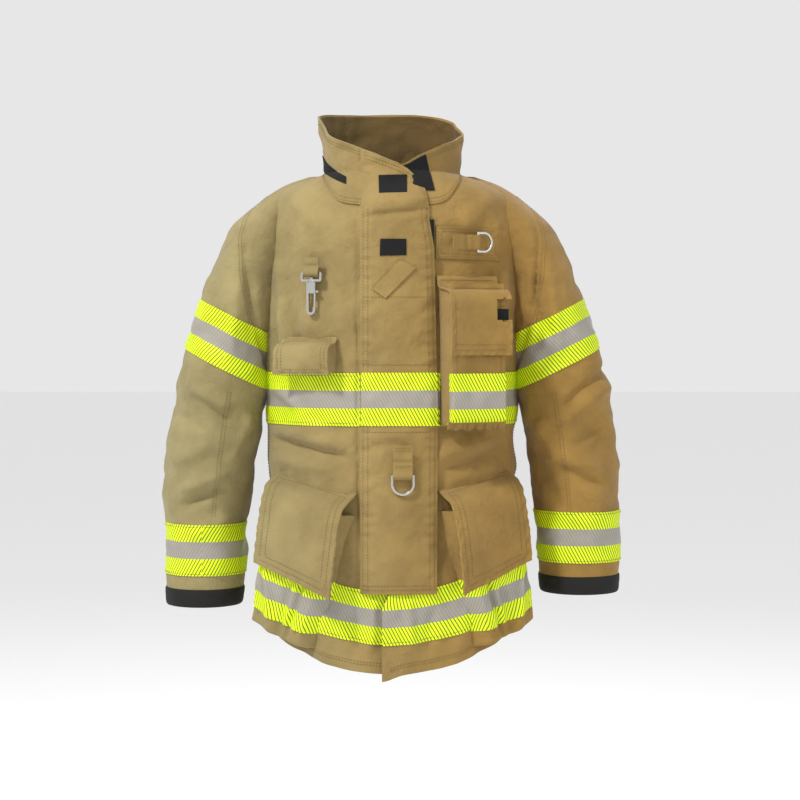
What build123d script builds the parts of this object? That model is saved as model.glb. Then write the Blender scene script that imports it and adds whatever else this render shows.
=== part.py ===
from build123d import *
import math
import os

# Firefighter's turnout coat, shown as it is worn, in millimetres.
# +Z is up, +X is the wearer's left and -Y is the front.  The origin is the centre of the neck
# opening at the collar seam.  Heights in this file are counted from the hem level and up() turns
# them into Z.  Right and left are the wearer's own.

# --- driving dimensions -------------------------------------------------------------------------
neck_height = 753.0        # collar seam above the hem level
crease_height = neck_height - 63.0  # where the straight front starts to lean in to the neck
hem_depth = 158.0          # front of the coat at the hem level, forward of the middle
front_lean = 0.046         # how far the straight front leans back for each mm of height
shell_wall = 3.0           # outer shell, two plies of canvas with their seams
liner_wall = 3.0           # quilted thermal liner with the moisture barrier
trim_wall = 1.2            # reflective trim
trim_width = 76.0          # three-inch triple trim
sewn_gap = 0.3             # between pieces that are sewn face to face
moving_gap = 1.0           # between a moving piece and what it passes

hem_middle = 30.0          # lowest point of the hem, at the middle
hem_side = 92.0            # hem at the side seams
chest_trim_height = neck_height - 369.0  # lower edge of the chest band
hem_trim_rise = 42.0       # hem band above the hem

zip_gap = 12.0             # between the two front edges
zip_bottom = 90.0
zip_top = crease_height - 2.0
zip_chain = 6.0            # width of the closed teeth
zip_tape = 14.0
slider_length = 15.0
slider_width = 11.0
pull_length = 22.0

flap_hinge_x = -40.0       # sewn edge of the storm flap
flap_edge_x = 65.0         # its free edge
flap_bottom = 145.0
flap_wall = 3.5
flap_room = 7.0            # under the storm flap, for the zip slider
wing_edge_x = 50.0         # free edge of the collar wing
# upper edge of the wing where it leaves the collar, at the middle and at its end
wing_heights = (neck_height + 32.0, neck_height - 1.0, neck_height - 11.0)

collar_height = 97.0       # at the back
collar_wall = 4.0
collar_lining_wall = 1.5
collar_side = 75.0         # height of its top edge beside the neck
collar_front = 14.0        # and at the throat
loop_length = 60.0         # hanger loop inside the back of the collar
loop_gap = 7.0
loop_tape = 1.5
loop_rise = 14.0

shoulder_x = 175.0         # centre of the shoulder joint
shoulder_height = neck_height - 148.0
shoulder_radius = 110.0    # sleeve head ends and sleeve starts around this
elbow_height = neck_height - 383.0
elbow_radius = 100.0
cuff_bottom = {-1: neck_height - 641.0, 1: neck_height - 622.0}  # the left sleeve sits a little higher
cuff_band = 25.0           # black cuff reinforcement
cuff_trim_rise = 47.0      # lower edge of the cuff trim above the bottom of the cuff
upper_trim_reach = 82.0    # upper trim starts this far down the slope from the shoulder joint
upper_trim_slope = 27.0    # slope of the upper sleeve, degrees from the vertical
wristlet_length = 80.0
wristlet_wall = 2.0

pocket_wall = 3.0
cargo_depth = 50.0         # bellows at the bottom, from the chord across the pocket
cargo_mouth_depth = 34.0   # bellows at the mouth
cargo_mouth = 30.0         # mouth below the seam of its flap
cargo_above_hem = 30.0     # pocket's bottom above the hem
cargo_seam_depth = 33.0    # seam of the flap, out from the chord
cargo_flap_length = (124.0, 145.0)  # at its outer and inner ends
cargo_flap_tilt = 8.0      # the flap stands out over the full pocket
cargo_flap_wall = 4.0
# inner and outer ends of each flap's seam: distance from the middle, height
cargo_seam = {-1: ((51.0, 284.0), (166.0, 311.0)), 1: ((66.0, 290.0), (168.0, 314.0))}

radio_width = 88.0
radio_height = 212.0
radio_depth = 45.0
radio_flap_length = 108.0
radio_top = neck_height - 157.0
radio_notch = (23.0, 36.0, 48.0)  # notch in its flap: width, height and its middle below the seam
radio_patch_size = (20.0, 16.0, 52.0)  # width, height and its middle below the seam
radio_x = 108.0
radio_angle = 22.0

chest_pocket_width = 84.0
chest_pocket_height = 47.0
chest_pocket_depth = 22.0
chest_flap_length = 50.0
chest_pocket_top = neck_height - 244.0
chest_pocket_x = -118.0
chest_pocket_angle = -28.0
lid_wall = 3.0

lid_room = 2.0             # between a lid and the pocket under it
lid_overhang = 3.0
lid_mouth = 8.0            # pocket's mouth below its lid's seam
lid_stand = 1.5            # hinge line of a lid, out from the coat

ring_wire = 3.6
loop_wall = 2.0            # webbing folded round a ring's bar
bar_room = 0.5             # between that bar and the webbing
patch_wall = 1.2           # loop fastener
tape_wall = 1.1
strap_room = 1.2
centre_ring_x = 16.0
centre_ring_height = 314.0
centre_ring_width = 34.0
centre_ring_drop = 28.0
mic_ring_x = 118.0
mic_ring_height = neck_height - 105.0
mic_ring_width = 30.0
mic_ring_drop = 25.0
hook_x = -110.0
hook_height = neck_height - 149.0
hook_eye_width = 33.0
hook_eye_drop = 11.0
hook_wire = 3.2
hook_length = 47.0         # below the eye
hook_half_width = 7.0
hook_thickness = 5.0
bolt_radius = 1.6
bolt_travel = 9.0
running_room = 0.1

# half width and back depth of the coat's body at each height
body_sections = (
    (0, 197, 150), (200, 188, 142), (364, 180, 134), (neck_height - 273, 192, 140),
    (neck_height - 183, 200, 140), (neck_height - 113, 202, 128), (crease_height, 196, 112),
)
# shoulders: height, half width, front depth, back depth
shoulder_sections = (
    (neck_height - 38, 182, 119, 98), (neck_height - 18, 152, 108, 88), (neck_height, 101, 98, 78),
)
# sleeve: distance below the neck, centre, half width, half depth
sleeve_sections = (
    (653, 283, 54, 58), (612, 281, 58, 60), (519, 279, 61, 66), (433, 272, 66, 73),
    (383, 265, 68, 76), (333, 257, 68, 79), (253, 240, 66, 83), (183, 222, 60, 86),
    (113, 205, 53, 82), (67, 186, 43, 70), (45, 168, 34, 54),
)
far = 600.0                # long enough to cut through everything


def up(height):
    return height - neck_height


def front_depth(height):
    return hem_depth - front_lean * height


# --- forms of the cloth -------------------------------------------------------------------------
def body_outline():
    """Sections of the body: height, half width, front depth, back depth, share that rises."""
    rows = [(h, w, front_depth(h), b, 0) for h, w, b in body_sections]
    rows += [(h, w, f, b, 1) for h, w, f, b in shoulder_sections]
    return rows


def oval(height, half_width, front, back, centre=0.0):
    """Closed oval section, two half ellipses, in the plane at a height."""
    with BuildSketch(Plane.XY.offset(height)) as section:
        with BuildLine():
            EllipticalCenterArc((centre, 0), half_width, back, 0, arc_size=180)
            EllipticalCenterArc((centre, 0), half_width, front, 180, arc_size=180)
        make_face()
    return section.sketch


def body_form(grow):
    """Solid of the coat's body, grown outward by grow."""
    with BuildPart() as form:
        for height, half_width, front, back, rises in body_outline():
            add(oval(up(height) + grow * rises, half_width + grow, front + grow, back + grow))
        loft(ruled=True)
    return form.part


def sleeve_form(side, grow):
    """Solid of a whole sleeve from cuff to shoulder, grown outward by grow."""
    with BuildPart() as form:
        for below_neck, centre, half_width, half_depth in sleeve_sections:
            depth = half_depth + grow
            add(oval(-below_neck, half_width + grow, depth, depth, side * centre))
        loft(ruled=True)
    return form.part


def collar_form(grow):
    """Solid inside the standing collar, grown outward by grow."""
    base = shoulder_sections[-1]
    with BuildPart() as form:
        add(oval(0, base[1] + grow, base[2] + grow, base[3] + grow))
        add(oval(collar_height + 5, base[1] + 8 + grow, base[2] + 6 + grow, base[3] + 10 + grow))
        loft(ruled=True)
    return form.part


def block(x, y, z):
    """Box between two limits on each axis."""
    with BuildPart() as form:
        with BuildSketch(Plane.XY.offset(z[0])):
            with Locations(((x[0] + x[1]) / 2, (y[0] + y[1]) / 2)):
                Rectangle(x[1] - x[0], y[1] - y[0])
        extrude(amount=z[1] - z[0])
    return form.part


def body_half_width(height):
    """Half width and front depth of the body's outline at a height."""
    rows = body_outline()
    for low, high in zip(rows, rows[1:]):
        if low[0] <= height <= high[0]:
            share = (height - low[0]) / (high[0] - low[0])
            return (low[1] + share * (high[1] - low[1]), low[2] + share * (high[2] - low[2]))
    return rows[-1][1], rows[-1][2]


def front_y(x, height, out=0.0):
    """Y of the coat's front at an X and a height, grown outward by out."""
    half_width, front = body_half_width(height)
    return -(front + out) * math.sqrt(1 - (x / (half_width + out)) ** 2)


def front_plane(x, height, out=0.0, angle=0.0):
    """Plane on the coat's front: local X across, local Y up, Z outward, turned round by angle."""
    turn = math.radians(angle)
    normal = Vector(math.sin(turn), -math.cos(turn), 0)
    across = Vector(math.cos(turn), math.sin(turn), 0)
    origin = Vector(x, front_y(x, height), up(height)) + normal * out
    return Plane(origin=origin, x_dir=across, z_dir=normal)


outer_body = body_form(0)
inner_body = body_form(-shell_wall)
outer_sleeve = {side: sleeve_form(side, 0) for side in (-1, 1)}
inner_sleeve = {side: sleeve_form(side, -shell_wall) for side in (-1, 1)}
side_name = {-1: "right", 1: "left"}


def shoulder_roller(side, radius):
    """Cylinder along Y about the shoulder joint."""
    with BuildPart() as form:
        with BuildSketch(Plane.XZ.offset(-far / 2)):
            with Locations((side * shoulder_x, up(shoulder_height))):
                Circle(radius)
        extrude(amount=far)
    return form.part


def elbow_roller(radius):
    """Cylinder along X about the elbow joints."""
    with BuildPart() as form:
        with BuildSketch(Plane.YZ.offset(-far)):
            with Locations((0, up(elbow_height))):
                Circle(radius)
        extrude(amount=2 * far)
    return form.part


def below_hem_curve(rise):
    """Everything below the curve of the hem, raised by rise."""
    side_height = up(hem_side + 16 + rise)
    with BuildPart() as form:
        with BuildSketch(Plane.XZ.offset(-far / 2)):
            with BuildLine():
                ThreePointArc((-220, side_height), (0, up(hem_middle + rise)), (220, side_height))
                Polyline(
                    (220, side_height), (260, side_height), (260, up(-60)),
                    (-260, up(-60)), (-260, side_height), (-220, side_height),
                )
            make_face()
        extrude(amount=far)
    return form.part


def cut_out(outer, *inner):
    """Outer solid less each of the others."""
    with BuildPart() as form:
        add(outer)
        for solid in inner:
            add(solid, mode=Mode.SUBTRACT)
    return form.part


def common(first, *others):
    """What all the solids share."""
    with BuildPart() as form:
        add(first)
        for solid in others:
            add(solid, mode=Mode.INTERSECT)
    return form.part


def body_skin(low, high, region):
    """Layer on the coat's body from low to high outward, within a region."""
    return common(cut_out(body_form(high), body_form(low)), region)


def sleeve_skin(side, low, high, region):
    """Layer on a sleeve from low to high outward, within a region."""
    return common(cut_out(sleeve_form(side, high), sleeve_form(side, low)), region)


def band(x, low, high):
    """Front region between two X limits and two heights."""
    return block(x, (-far, -1), (up(low), up(high)))


def front_prism(points):
    """Region behind an outline drawn on the coat's front in X and height."""
    with BuildPart() as form:
        with BuildSketch(Plane.XZ.offset(1)):
            with BuildLine():
                Polyline(*[(x, up(height)) for x, height in points], close=True)
            make_face()
        extrude(amount=far / 2)
    return form.part


def keep(piece, name):
    """Name a finished piece and write it."""
    piece.part.label = name
    export_step(piece.part, f"parts/{name}.step")


os.makedirs("parts", exist_ok=True)
armholes = [
    common(inner_sleeve[side], shoulder_roller(side, shoulder_radius + 1)) for side in (-1, 1)
]
hem_cut = below_hem_curve(0)
with BuildPart() as neck_cut:
    base = shoulder_sections[-1]
    add(oval(-60, base[1] - shell_wall, base[2] - shell_wall, base[3] - shell_wall))
    extrude(amount=90)
half_zip = zip_gap / 2
half_seam = sewn_gap / 2
right_half = block((-far, -half_zip), (-far, -half_seam), (-far * 2, 20))
left_half = block((half_zip, far), (-far, -half_seam), (-far * 2, 20))
back_half = block((-far, far), (half_seam, far), (-far * 2, 20))

# --- shell of the body: two fronts and a back, open at the neck, the hem and the armholes -------
body_shell = cut_out(outer_body, inner_body, hem_cut, neck_cut.part, *armholes)
with BuildPart() as right_front_panel:
    add(body_shell)
    add(right_half, mode=Mode.INTERSECT)
keep(right_front_panel, "right_front_panel")

with BuildPart() as left_front_panel:
    add(body_shell)
    add(left_half, mode=Mode.INTERSECT)
keep(left_front_panel, "left_front_panel")

with BuildPart() as back_panel:
    add(body_shell)
    add(back_half, mode=Mode.INTERSECT)
keep(back_panel, "back_panel")

# --- sleeve heads, sewn into the armholes -------------------------------------------------------
for side in (-1, 1):
    with BuildPart() as sleeve_head:
        add(common(outer_sleeve[side], shoulder_roller(side, shoulder_radius)))
        add(inner_sleeve[side], mode=Mode.SUBTRACT)
        add(body_form(sewn_gap), mode=Mode.SUBTRACT)
    keep(sleeve_head, f"{side_name[side]}_sleeve_head")

# --- quilted liner, open down the front ---------------------------------------------------------
liner_out = -shell_wall - tape_wall - 2 * sewn_gap
with BuildPart() as body_liner:
    add(cut_out(body_form(liner_out), body_form(liner_out - liner_wall)))
    add(below_hem_curve(22), mode=Mode.SUBTRACT)
    add(neck_cut.part, mode=Mode.SUBTRACT)
    for hole in armholes:
        add(hole, mode=Mode.SUBTRACT)
    add(block((-zip_tape - 4, zip_tape + 4), (-far, 0), (-far * 2, 20)), mode=Mode.SUBTRACT)
    add(block((-far, far), (-far, far), (-11, 40)), mode=Mode.SUBTRACT)
keep(body_liner, "body_liner")

# --- standing collar, its lining and the loop it hangs by ---------------------------------------
with BuildPart() as above_collar:
    with BuildSketch(Plane.YZ.offset(-far / 2)):
        with BuildLine():
            ThreePointArc((-112, collar_front), (-12, collar_side), (96, collar_height))
            Polyline(
                (96, collar_height), (130, collar_height), (130, 140),
                (-150, 140), (-150, collar_front), (-112, collar_front),
            )
        make_face()
    extrude(amount=far)
throat = block((-2, 2), (-far, 0), (-10, 200))
seam_slab = block((-far, far), (-far, far), (-20, sewn_gap))

with BuildPart() as collar_shell:
    add(cut_out(collar_form(0), collar_form(-collar_wall)))
    for cut in (above_collar.part, throat, seam_slab):
        add(cut, mode=Mode.SUBTRACT)
keep(collar_shell, "collar_shell")

lining_out = -collar_wall - sewn_gap
with BuildPart() as collar_lining:
    add(cut_out(collar_form(lining_out), collar_form(lining_out - collar_lining_wall)))
    for cut in (above_collar.part, throat, seam_slab):
        add(cut, mode=Mode.SUBTRACT)
keep(collar_lining, "collar_lining")

inside_collar = lining_out - collar_lining_wall
inside_width = shoulder_sections[-1][1] + inside_collar
inside_depth = shoulder_sections[-1][3] + inside_collar
loop_back = inside_depth * math.sqrt(1 - (loop_length / 2 / inside_width) ** 2) - sewn_gap
with BuildPart() as hanger_loop:
    with BuildSketch(Plane.YZ.offset(-loop_length / 2)):
        with Locations((loop_back - loop_gap / 2 - loop_tape, loop_rise)):
            Rectangle(loop_gap + 2 * loop_tape, loop_gap + 2 * loop_tape)
            Rectangle(loop_gap, loop_gap, mode=Mode.SUBTRACT)
    extrude(amount=loop_length)
keep(hanger_loop, "hanger_loop")

# --- cargo pockets: bellows bags on the hips with their reflective trim -------------------------
def cargo_axes(side):
    """Outer and inner ends of a cargo flap's seam line, and the outward direction between."""
    (inner_x, inner_height), (outer_x, outer_height) = cargo_seam[side]
    inner = Vector(-inner_x, front_y(inner_x, inner_height), up(inner_height))
    outer = Vector(-outer_x, front_y(outer_x, outer_height), up(outer_height))
    along = (inner - outer).normalized()
    outward = Vector(along.Y, -along.X, 0).normalized()
    return outer, inner, along, outward


def cargo_plan(side, height, depth, inset):
    """Plan of a cargo pocket at a height, from inside the coat to its front face."""
    outer, inner, along, outward = cargo_axes(side)
    flat = Vector(along.X, along.Y, 0).normalized()
    start = Vector(outer.X, outer.Y, 0) + flat * (3 + inset)
    end = Vector(inner.X, inner.Y, 0) - flat * (3 + inset)
    corners = [
        start - outward * 60, start + outward * depth, end + outward * depth, end - outward * 60,
    ]
    with BuildSketch(Plane.XY.offset(up(height))) as plan:
        with BuildLine():
            Polyline(*[(p.X, p.Y) for p in corners], close=True)
        make_face()
    return plan.sketch


def cargo_block(side, inset, low):
    """Full block of a cargo pocket, with every wall inset, above the hem curve raised by low."""
    with BuildPart() as form:
        add(cargo_plan(side, 40, cargo_depth - inset, inset))
        add(cargo_plan(side, 330, cargo_mouth_depth - 3 - inset, inset))
        loft(ruled=True)
        add(below_hem_curve(low), mode=Mode.SUBTRACT)
    return form.part


def along_seam(side, profile, start, end):
    """Bar along a cargo flap's seam: its profile is outward and down from the seam's line."""
    outer, inner, along, outward = cargo_axes(side)
    with BuildPart() as form:
        with BuildSketch(Plane(origin=outer + along * start, x_dir=outward, z_dir=along)):
            with BuildLine():
                Polyline(*profile, close=True)
            make_face()
        extrude(amount=(inner - outer).length - start - end)
    return form.part


def on_its_side(side, part):
    """The part as made for the right side, or its mirror image for the left."""
    return part if side < 0 else mirror(part, about=Plane.YZ)


for side in (-1, 1):
    below_mouth = along_seam(side, ((-80, cargo_mouth), (80, cargo_mouth), (80, 400), (-80, 400)), -40, -40)
    above_mouth = along_seam(side, ((-80, -9), (60, -9), (60, cargo_mouth + 4), (-80, cargo_mouth + 4)), 4, 4)
    seam_out = cargo_seam_depth - 2 * moving_gap
    welt = along_seam(side, ((-60, -9), (seam_out, -9), (seam_out, -moving_gap), (-60, -moving_gap)), 4, 4)
    full_bag = common(cargo_block(side, 0, cargo_above_hem), below_mouth)
    hollow = cut_out(
        cargo_block(side, pocket_wall, cargo_above_hem + pocket_wall), body_form(pocket_wall + sewn_gap)
    )
    with BuildPart() as cargo_bag:
        add(full_bag)
        add(common(body_form(pocket_wall), above_mouth))
        add(welt)
        add(hollow, mode=Mode.SUBTRACT)
        add(welt)
        add(body_form(sewn_gap), mode=Mode.SUBTRACT)
    with BuildPart() as cargo_bag_placed:
        add(on_its_side(side, cargo_bag.part))
    keep(cargo_bag_placed, f"{side_name[side]}_cargo_bag")

    # reflective trim across the front of the bag, level with the hem trim
    trim_low = hem_trim_rise
    skin = cut_out(cargo_block(side, -sewn_gap - trim_wall, 0), cargo_block(side, -sewn_gap, -9))
    stripe = cut_out(below_hem_curve(trim_low + trim_width), below_hem_curve(trim_low))
    front_only = along_seam(side, ((2, -20), (80, -20), (80, 400), (2, 400)), 3, 3)
    with BuildPart() as cargo_trim:
        add(common(skin, stripe, below_mouth, front_only))
        add(body_form(8), mode=Mode.SUBTRACT)
    with BuildPart() as cargo_trim_placed:
        add(on_its_side(side, cargo_trim.part))
    keep(cargo_trim_placed, f"{side_name[side]}_cargo_trim")

    # flap, hinged along its seam and standing out over the bag
    outer, inner, along, outward = cargo_axes(side)
    tilt = math.radians(cargo_flap_tilt)
    down = along.cross(outward).normalized()
    flap_out = outward * math.cos(tilt) - down * math.sin(tilt)
    seam_length = (inner - outer).length
    hinge_line = outer + outward * cargo_seam_depth
    with BuildPart() as cargo_flap:
        with BuildSketch(Plane(origin=hinge_line, x_dir=along, z_dir=flap_out)):
            with BuildLine():
                Polyline(
                    (0, 0), (seam_length, 0), (seam_length - 2, -cargo_flap_length[1]),
                    (2, -cargo_flap_length[0]), close=True,
                )
            make_face()
        extrude(amount=cargo_flap_wall)
        fillet(cargo_flap.edges().filter_by(Axis(hinge_line, flap_out)).sort_by(Axis.Z)[:2], 9)
    with BuildPart() as cargo_flap_placed:
        add(on_its_side(side, cargo_flap.part))
    keep(cargo_flap_placed, f"{side_name[side]}_cargo_flap")

# --- square pockets with lids: radio pocket and the small chest pocket --------------------------
def profile_bar(plane, profile, width):
    """Bar across a front plane, its profile given outward and down from the plane's origin."""
    start = plane.origin - plane.x_dir * (width / 2)
    with BuildPart() as form:
        with BuildSketch(Plane(origin=start, x_dir=plane.z_dir, z_dir=plane.x_dir)):
            with BuildLine():
                Polyline(*profile, close=True)
            make_face()
        extrude(amount=width)
    return form.part


def box_bag(plane, width, height, depth, inset):
    """Block of a square pocket from inside the coat to its front, every wall but the mouth inset."""
    profile = (
        (-80, lid_mouth - inset), (depth - inset, lid_mouth - inset),
        (depth - inset, height - inset), (-80, height - inset),
    )
    return profile_bar(plane, profile, width - 2 * inset)


def square_pocket(plane, width, height, depth):
    """Open-topped pocket sewn to the coat."""
    hollow = cut_out(box_bag(plane, width, height, depth, pocket_wall), body_form(pocket_wall + sewn_gap))
    return cut_out(box_bag(plane, width, height, depth, 0), hollow, body_form(sewn_gap))


def lid(plane, width, depth, length):
    """Lid with a roof over the pocket's mouth and a leaf down its front."""
    near = depth + lid_room
    profile = (
        (lid_stand, 0), (near + lid_wall, lid_wall), (near + lid_wall, length),
        (near, length), (near, 2 * lid_wall), (lid_stand, lid_wall),
    )
    return profile_bar(plane, profile, width + 2 * lid_overhang)


radio_plane = front_plane(radio_x, radio_top, 0, radio_angle)
with BuildPart() as radio_pocket:
    add(square_pocket(radio_plane, radio_width, radio_height, radio_depth))
keep(radio_pocket, "radio_pocket")

with BuildPart() as radio_flap:
    add(lid(radio_plane, radio_width, radio_depth, radio_flap_length))
    with BuildSketch(radio_plane):
        with Locations((radio_width / 2 - 4, -radio_notch[2])):
            Rectangle(radio_notch[0], radio_notch[1])
    extrude(amount=radio_depth + 20, mode=Mode.SUBTRACT)
keep(radio_flap, "radio_flap")

with BuildPart() as radio_patch:
    with BuildSketch(radio_plane.offset(radio_depth + sewn_gap)):
        with Locations((radio_width / 2 - radio_patch_size[0] / 2 - 1, -radio_patch_size[2])):
            Rectangle(radio_patch_size[0], radio_patch_size[1])
    extrude(amount=patch_wall)
keep(radio_patch, "radio_patch")

chest_plane = front_plane(chest_pocket_x, chest_pocket_top, 0, chest_pocket_angle)
with BuildPart() as chest_pocket:
    add(square_pocket(chest_plane, chest_pocket_width, chest_pocket_height, chest_pocket_depth))
keep(chest_pocket, "chest_pocket")

with BuildPart() as chest_flap:
    add(lid(chest_plane, chest_pocket_width, chest_pocket_depth, chest_flap_length))
keep(chest_flap, "chest_flap")

# reflective trim across the radio pocket, level with the chest trim
trim_start = radio_top - chest_trim_height - trim_width
with BuildPart() as radio_trim:
    with BuildSketch(radio_plane.offset(radio_depth + sewn_gap)):
        with Locations((0, -trim_start - trim_width / 2)):
            Rectangle(radio_width, trim_width)
    extrude(amount=trim_wall)
keep(radio_trim, "radio_trim")

# --- reflective trim on the body: a chest band and a band that follows the hem ------------------
chest_band = block((-far, far), (-far, far), (up(chest_trim_height), up(chest_trim_height + trim_width)))
hem_band = cut_out(below_hem_curve(hem_trim_rise + trim_width), below_hem_curve(hem_trim_rise))
with BuildPart() as both_bands:
    add(chest_band)
    add(common(hem_band, block((-far, far), (-far, far), (-far * 2, up(300)))))
trim_layer = body_skin(sewn_gap, sewn_gap + trim_wall, both_bands.part)
covered = [
    on_its_side(side, cargo_block(side, -sewn_gap, cargo_above_hem - 1)) for side in (-1, 1)
]
covered.append(box_bag(radio_plane, radio_width + 1, radio_height + 1, radio_depth, 0))
covered.append(box_bag(chest_plane, chest_pocket_width + 1, chest_pocket_height + 1, chest_pocket_depth, 0))

with BuildPart() as right_front_trim:
    add(trim_layer)
    add(block((-far, flap_hinge_x - 10), (-far, -half_seam), (-far * 2, 20)), mode=Mode.INTERSECT)
    for pocket in covered:
        add(pocket, mode=Mode.SUBTRACT)
keep(right_front_trim, "right_front_trim")

with BuildPart() as left_front_trim:
    add(trim_layer)
    add(block((flap_edge_x - 2, far), (-far, -half_seam), (-far * 2, 20)), mode=Mode.INTERSECT)
    for pocket in covered:
        add(pocket, mode=Mode.SUBTRACT)
keep(left_front_trim, "left_front_trim")

with BuildPart() as back_trim:
    add(trim_layer)
    add(back_half, mode=Mode.INTERSECT)
keep(back_trim, "back_trim")

# --- front closure: zip under a storm flap ------------------------------------------------------
tape_out = -shell_wall - sewn_gap
zip_span = (up(zip_bottom - 30), up(zip_top + 8))
with BuildPart() as zip_tapes:
    add(cut_out(body_form(tape_out), body_form(tape_out - tape_wall)))
    add(
        block((-zip_tape, zip_tape), (-far, 0), zip_span), mode=Mode.INTERSECT,
    )
    add(block((-0.4, 0.4), (-far, 0), zip_span), mode=Mode.SUBTRACT)
keep(zip_tapes, "zip_tapes")

with BuildPart() as zip_teeth:
    add(cut_out(body_form(-0.4), body_form(-shell_wall + 0.1)))
    add(block((-zip_chain / 2, zip_chain / 2), (-far, 0), zip_span), mode=Mode.INTERSECT)
keep(zip_teeth, "zip_teeth")

slider_out = 2.6
slider_region = block(
    (-slider_width / 2, slider_width / 2), (-far, 0), (up(zip_top - slider_length), up(zip_top))
)
teeth_way = block(
    (-zip_chain / 2 - 0.3, zip_chain / 2 + 0.3), (-far, 0), (up(zip_top - slider_length) - 1, up(zip_top) + 1)
)
with BuildPart() as zip_slider:
    add(common(cut_out(body_form(slider_out), body_form(-shell_wall + 0.2)), slider_region))
    add(common(body_form(0.3), teeth_way), mode=Mode.SUBTRACT)
keep(zip_slider, "zip_slider")

pull_top = zip_top - slider_length / 2
with BuildPart() as zip_pull:
    add(body_skin(slider_out + 0.2, slider_out + 2.2, band((-4, 4), pull_top - pull_length, pull_top)))
keep(zip_pull, "zip_pull")

flap_out_face = flap_room + flap_wall
flap_span = band((flap_hinge_x + moving_gap, flap_edge_x), flap_bottom, crease_height)
with BuildPart() as storm_flap:
    add(body_skin(flap_room, flap_out_face, flap_span))
keep(storm_flap, "storm_flap")

# its upper end crosses the throat and closes the collar
wing_outline = (
    (flap_hinge_x + moving_gap, crease_height + sewn_gap), (wing_edge_x, crease_height + sewn_gap),
    (wing_edge_x, wing_heights[2]), (20, wing_heights[1]), (flap_hinge_x + moving_gap, wing_heights[0]),
)
with BuildPart() as throat_outer:
    add(body_form(flap_out_face))
    add(collar_form(flap_out_face))
with BuildPart() as throat_inner:
    add(body_form(flap_room))
    add(collar_form(flap_room))
with BuildPart() as collar_wing:
    add(throat_outer.part)
    add(throat_inner.part, mode=Mode.SUBTRACT)
    add(front_prism(wing_outline), mode=Mode.INTERSECT)
keep(collar_wing, "collar_wing")

with BuildPart() as storm_flap_seam:
    add(
        body_skin(sewn_gap, flap_out_face, band((flap_hinge_x - 8, flap_hinge_x), flap_bottom, crease_height))
    )
keep(storm_flap_seam, "storm_flap_seam")

on_flap = flap_out_face + sewn_gap
with BuildPart() as flap_trim:
    add(
        body_skin(
            on_flap, on_flap + trim_wall,
            band((flap_hinge_x + 2, flap_edge_x), chest_trim_height, chest_trim_height + trim_width),
        )
    )
keep(flap_trim, "flap_trim")

with BuildPart() as flap_patch:
    add(body_skin(on_flap, on_flap + patch_wall, band((-17, 21), crease_height - 62, crease_height - 38)))
keep(flap_patch, "flap_patch")

slant_tab_wall = 2.0
slant_outline = [
    (x, crease_height - below) for x, below in ((12, 69), (35, 79), (-10, 124), (-28, 110))
]
with BuildPart() as slant_tab:
    add(body_skin(on_flap, on_flap + slant_tab_wall, front_prism(slant_outline)))
keep(slant_tab, "slant_tab")

with BuildPart() as wing_patch:
    add(body_skin(on_flap, on_flap + patch_wall, band((-19, 23), neck_height - 34, neck_height - 6)))
keep(wing_patch, "wing_patch")

# hook-and-loop closure inside the storm flap
closure_x = (36, 61)
with BuildPart() as flap_hook_tape:
    add(
        body_skin(
            flap_room - sewn_gap - patch_wall, flap_room - sewn_gap,
            band(closure_x, flap_bottom + 8, zip_top - 8),
        )
    )
keep(flap_hook_tape, "flap_hook_tape")

with BuildPart() as flap_loop_tape:
    add(body_skin(sewn_gap, sewn_gap + patch_wall, band(closure_x, flap_bottom + 8, zip_top - 8)))
keep(flap_loop_tape, "flap_loop_tape")

# --- rings on folded webbing --------------------------------------------------------------------
bar_reach = ring_wire / 2 + bar_room + loop_wall


def webbing_loop(plane, width, length):
    """Webbing folded round a bar at the plane's origin and sewn down above it."""
    start = plane.origin - plane.x_dir * (width / 2)
    with BuildPart() as form:
        with BuildSketch(Plane(origin=start, x_dir=plane.z_dir, z_dir=plane.x_dir)):
            with Locations((-bar_reach + loop_wall, -length / 2)):
                Rectangle(2 * loop_wall, length)
            Circle(bar_reach)
            Circle(bar_reach - loop_wall, mode=Mode.SUBTRACT)
        extrude(amount=width)
    return form.part


def d_ring(plane, width, drop):
    """D-ring hanging from its bar at the plane's origin."""
    half = width / 2
    shoulder = min(half, drop) * 0.45
    with BuildPart() as form:
        with BuildSketch(plane.offset(-ring_wire / 2)):
            with BuildLine():
                Polyline(
                    (-half, -shoulder), (-half, ring_wire / 2), (half, ring_wire / 2), (half, -shoulder)
                )
                ThreePointArc((half, -shoulder), (0, -drop), (-half, -shoulder))
            make_face()
            with BuildLine():
                inner = half - ring_wire
                Polyline(
                    (-inner, -shoulder), (-inner, -ring_wire / 2), (inner, -ring_wire / 2), (inner, -shoulder)
                )
                ThreePointArc((inner, -shoulder), (0, -drop + ring_wire), (-inner, -shoulder))
            make_face(mode=Mode.SUBTRACT)
        extrude(amount=ring_wire)
        fillet(form.edges(), ring_wire * 0.28)
    return form.part


def upright(plane):
    """The same plane turned a quarter, so that what hangs from it points to the left sleeve."""
    return Plane(origin=plane.origin, x_dir=plane.y_dir, z_dir=plane.z_dir)


flap_face = flap_out_face + strap_room + bar_reach
centre_ring_plane = front_plane(centre_ring_x, centre_ring_height, flap_face)
with BuildPart() as ring_strap:
    add(webbing_loop(centre_ring_plane, centre_ring_width - 2 * ring_wire - 2, 46))
keep(ring_strap, "ring_strap")

with BuildPart() as centre_ring:
    add(d_ring(centre_ring_plane, centre_ring_width, centre_ring_drop))
keep(centre_ring, "centre_ring")

panel_wall = 2.0
panel_half = 23.0
panel_region = band((64, 157), mic_ring_height - panel_half, mic_ring_height + panel_half)
with BuildPart() as mic_panel:
    add(body_skin(sewn_gap, sewn_gap + panel_wall, panel_region))
keep(mic_panel, "mic_panel")

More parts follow.
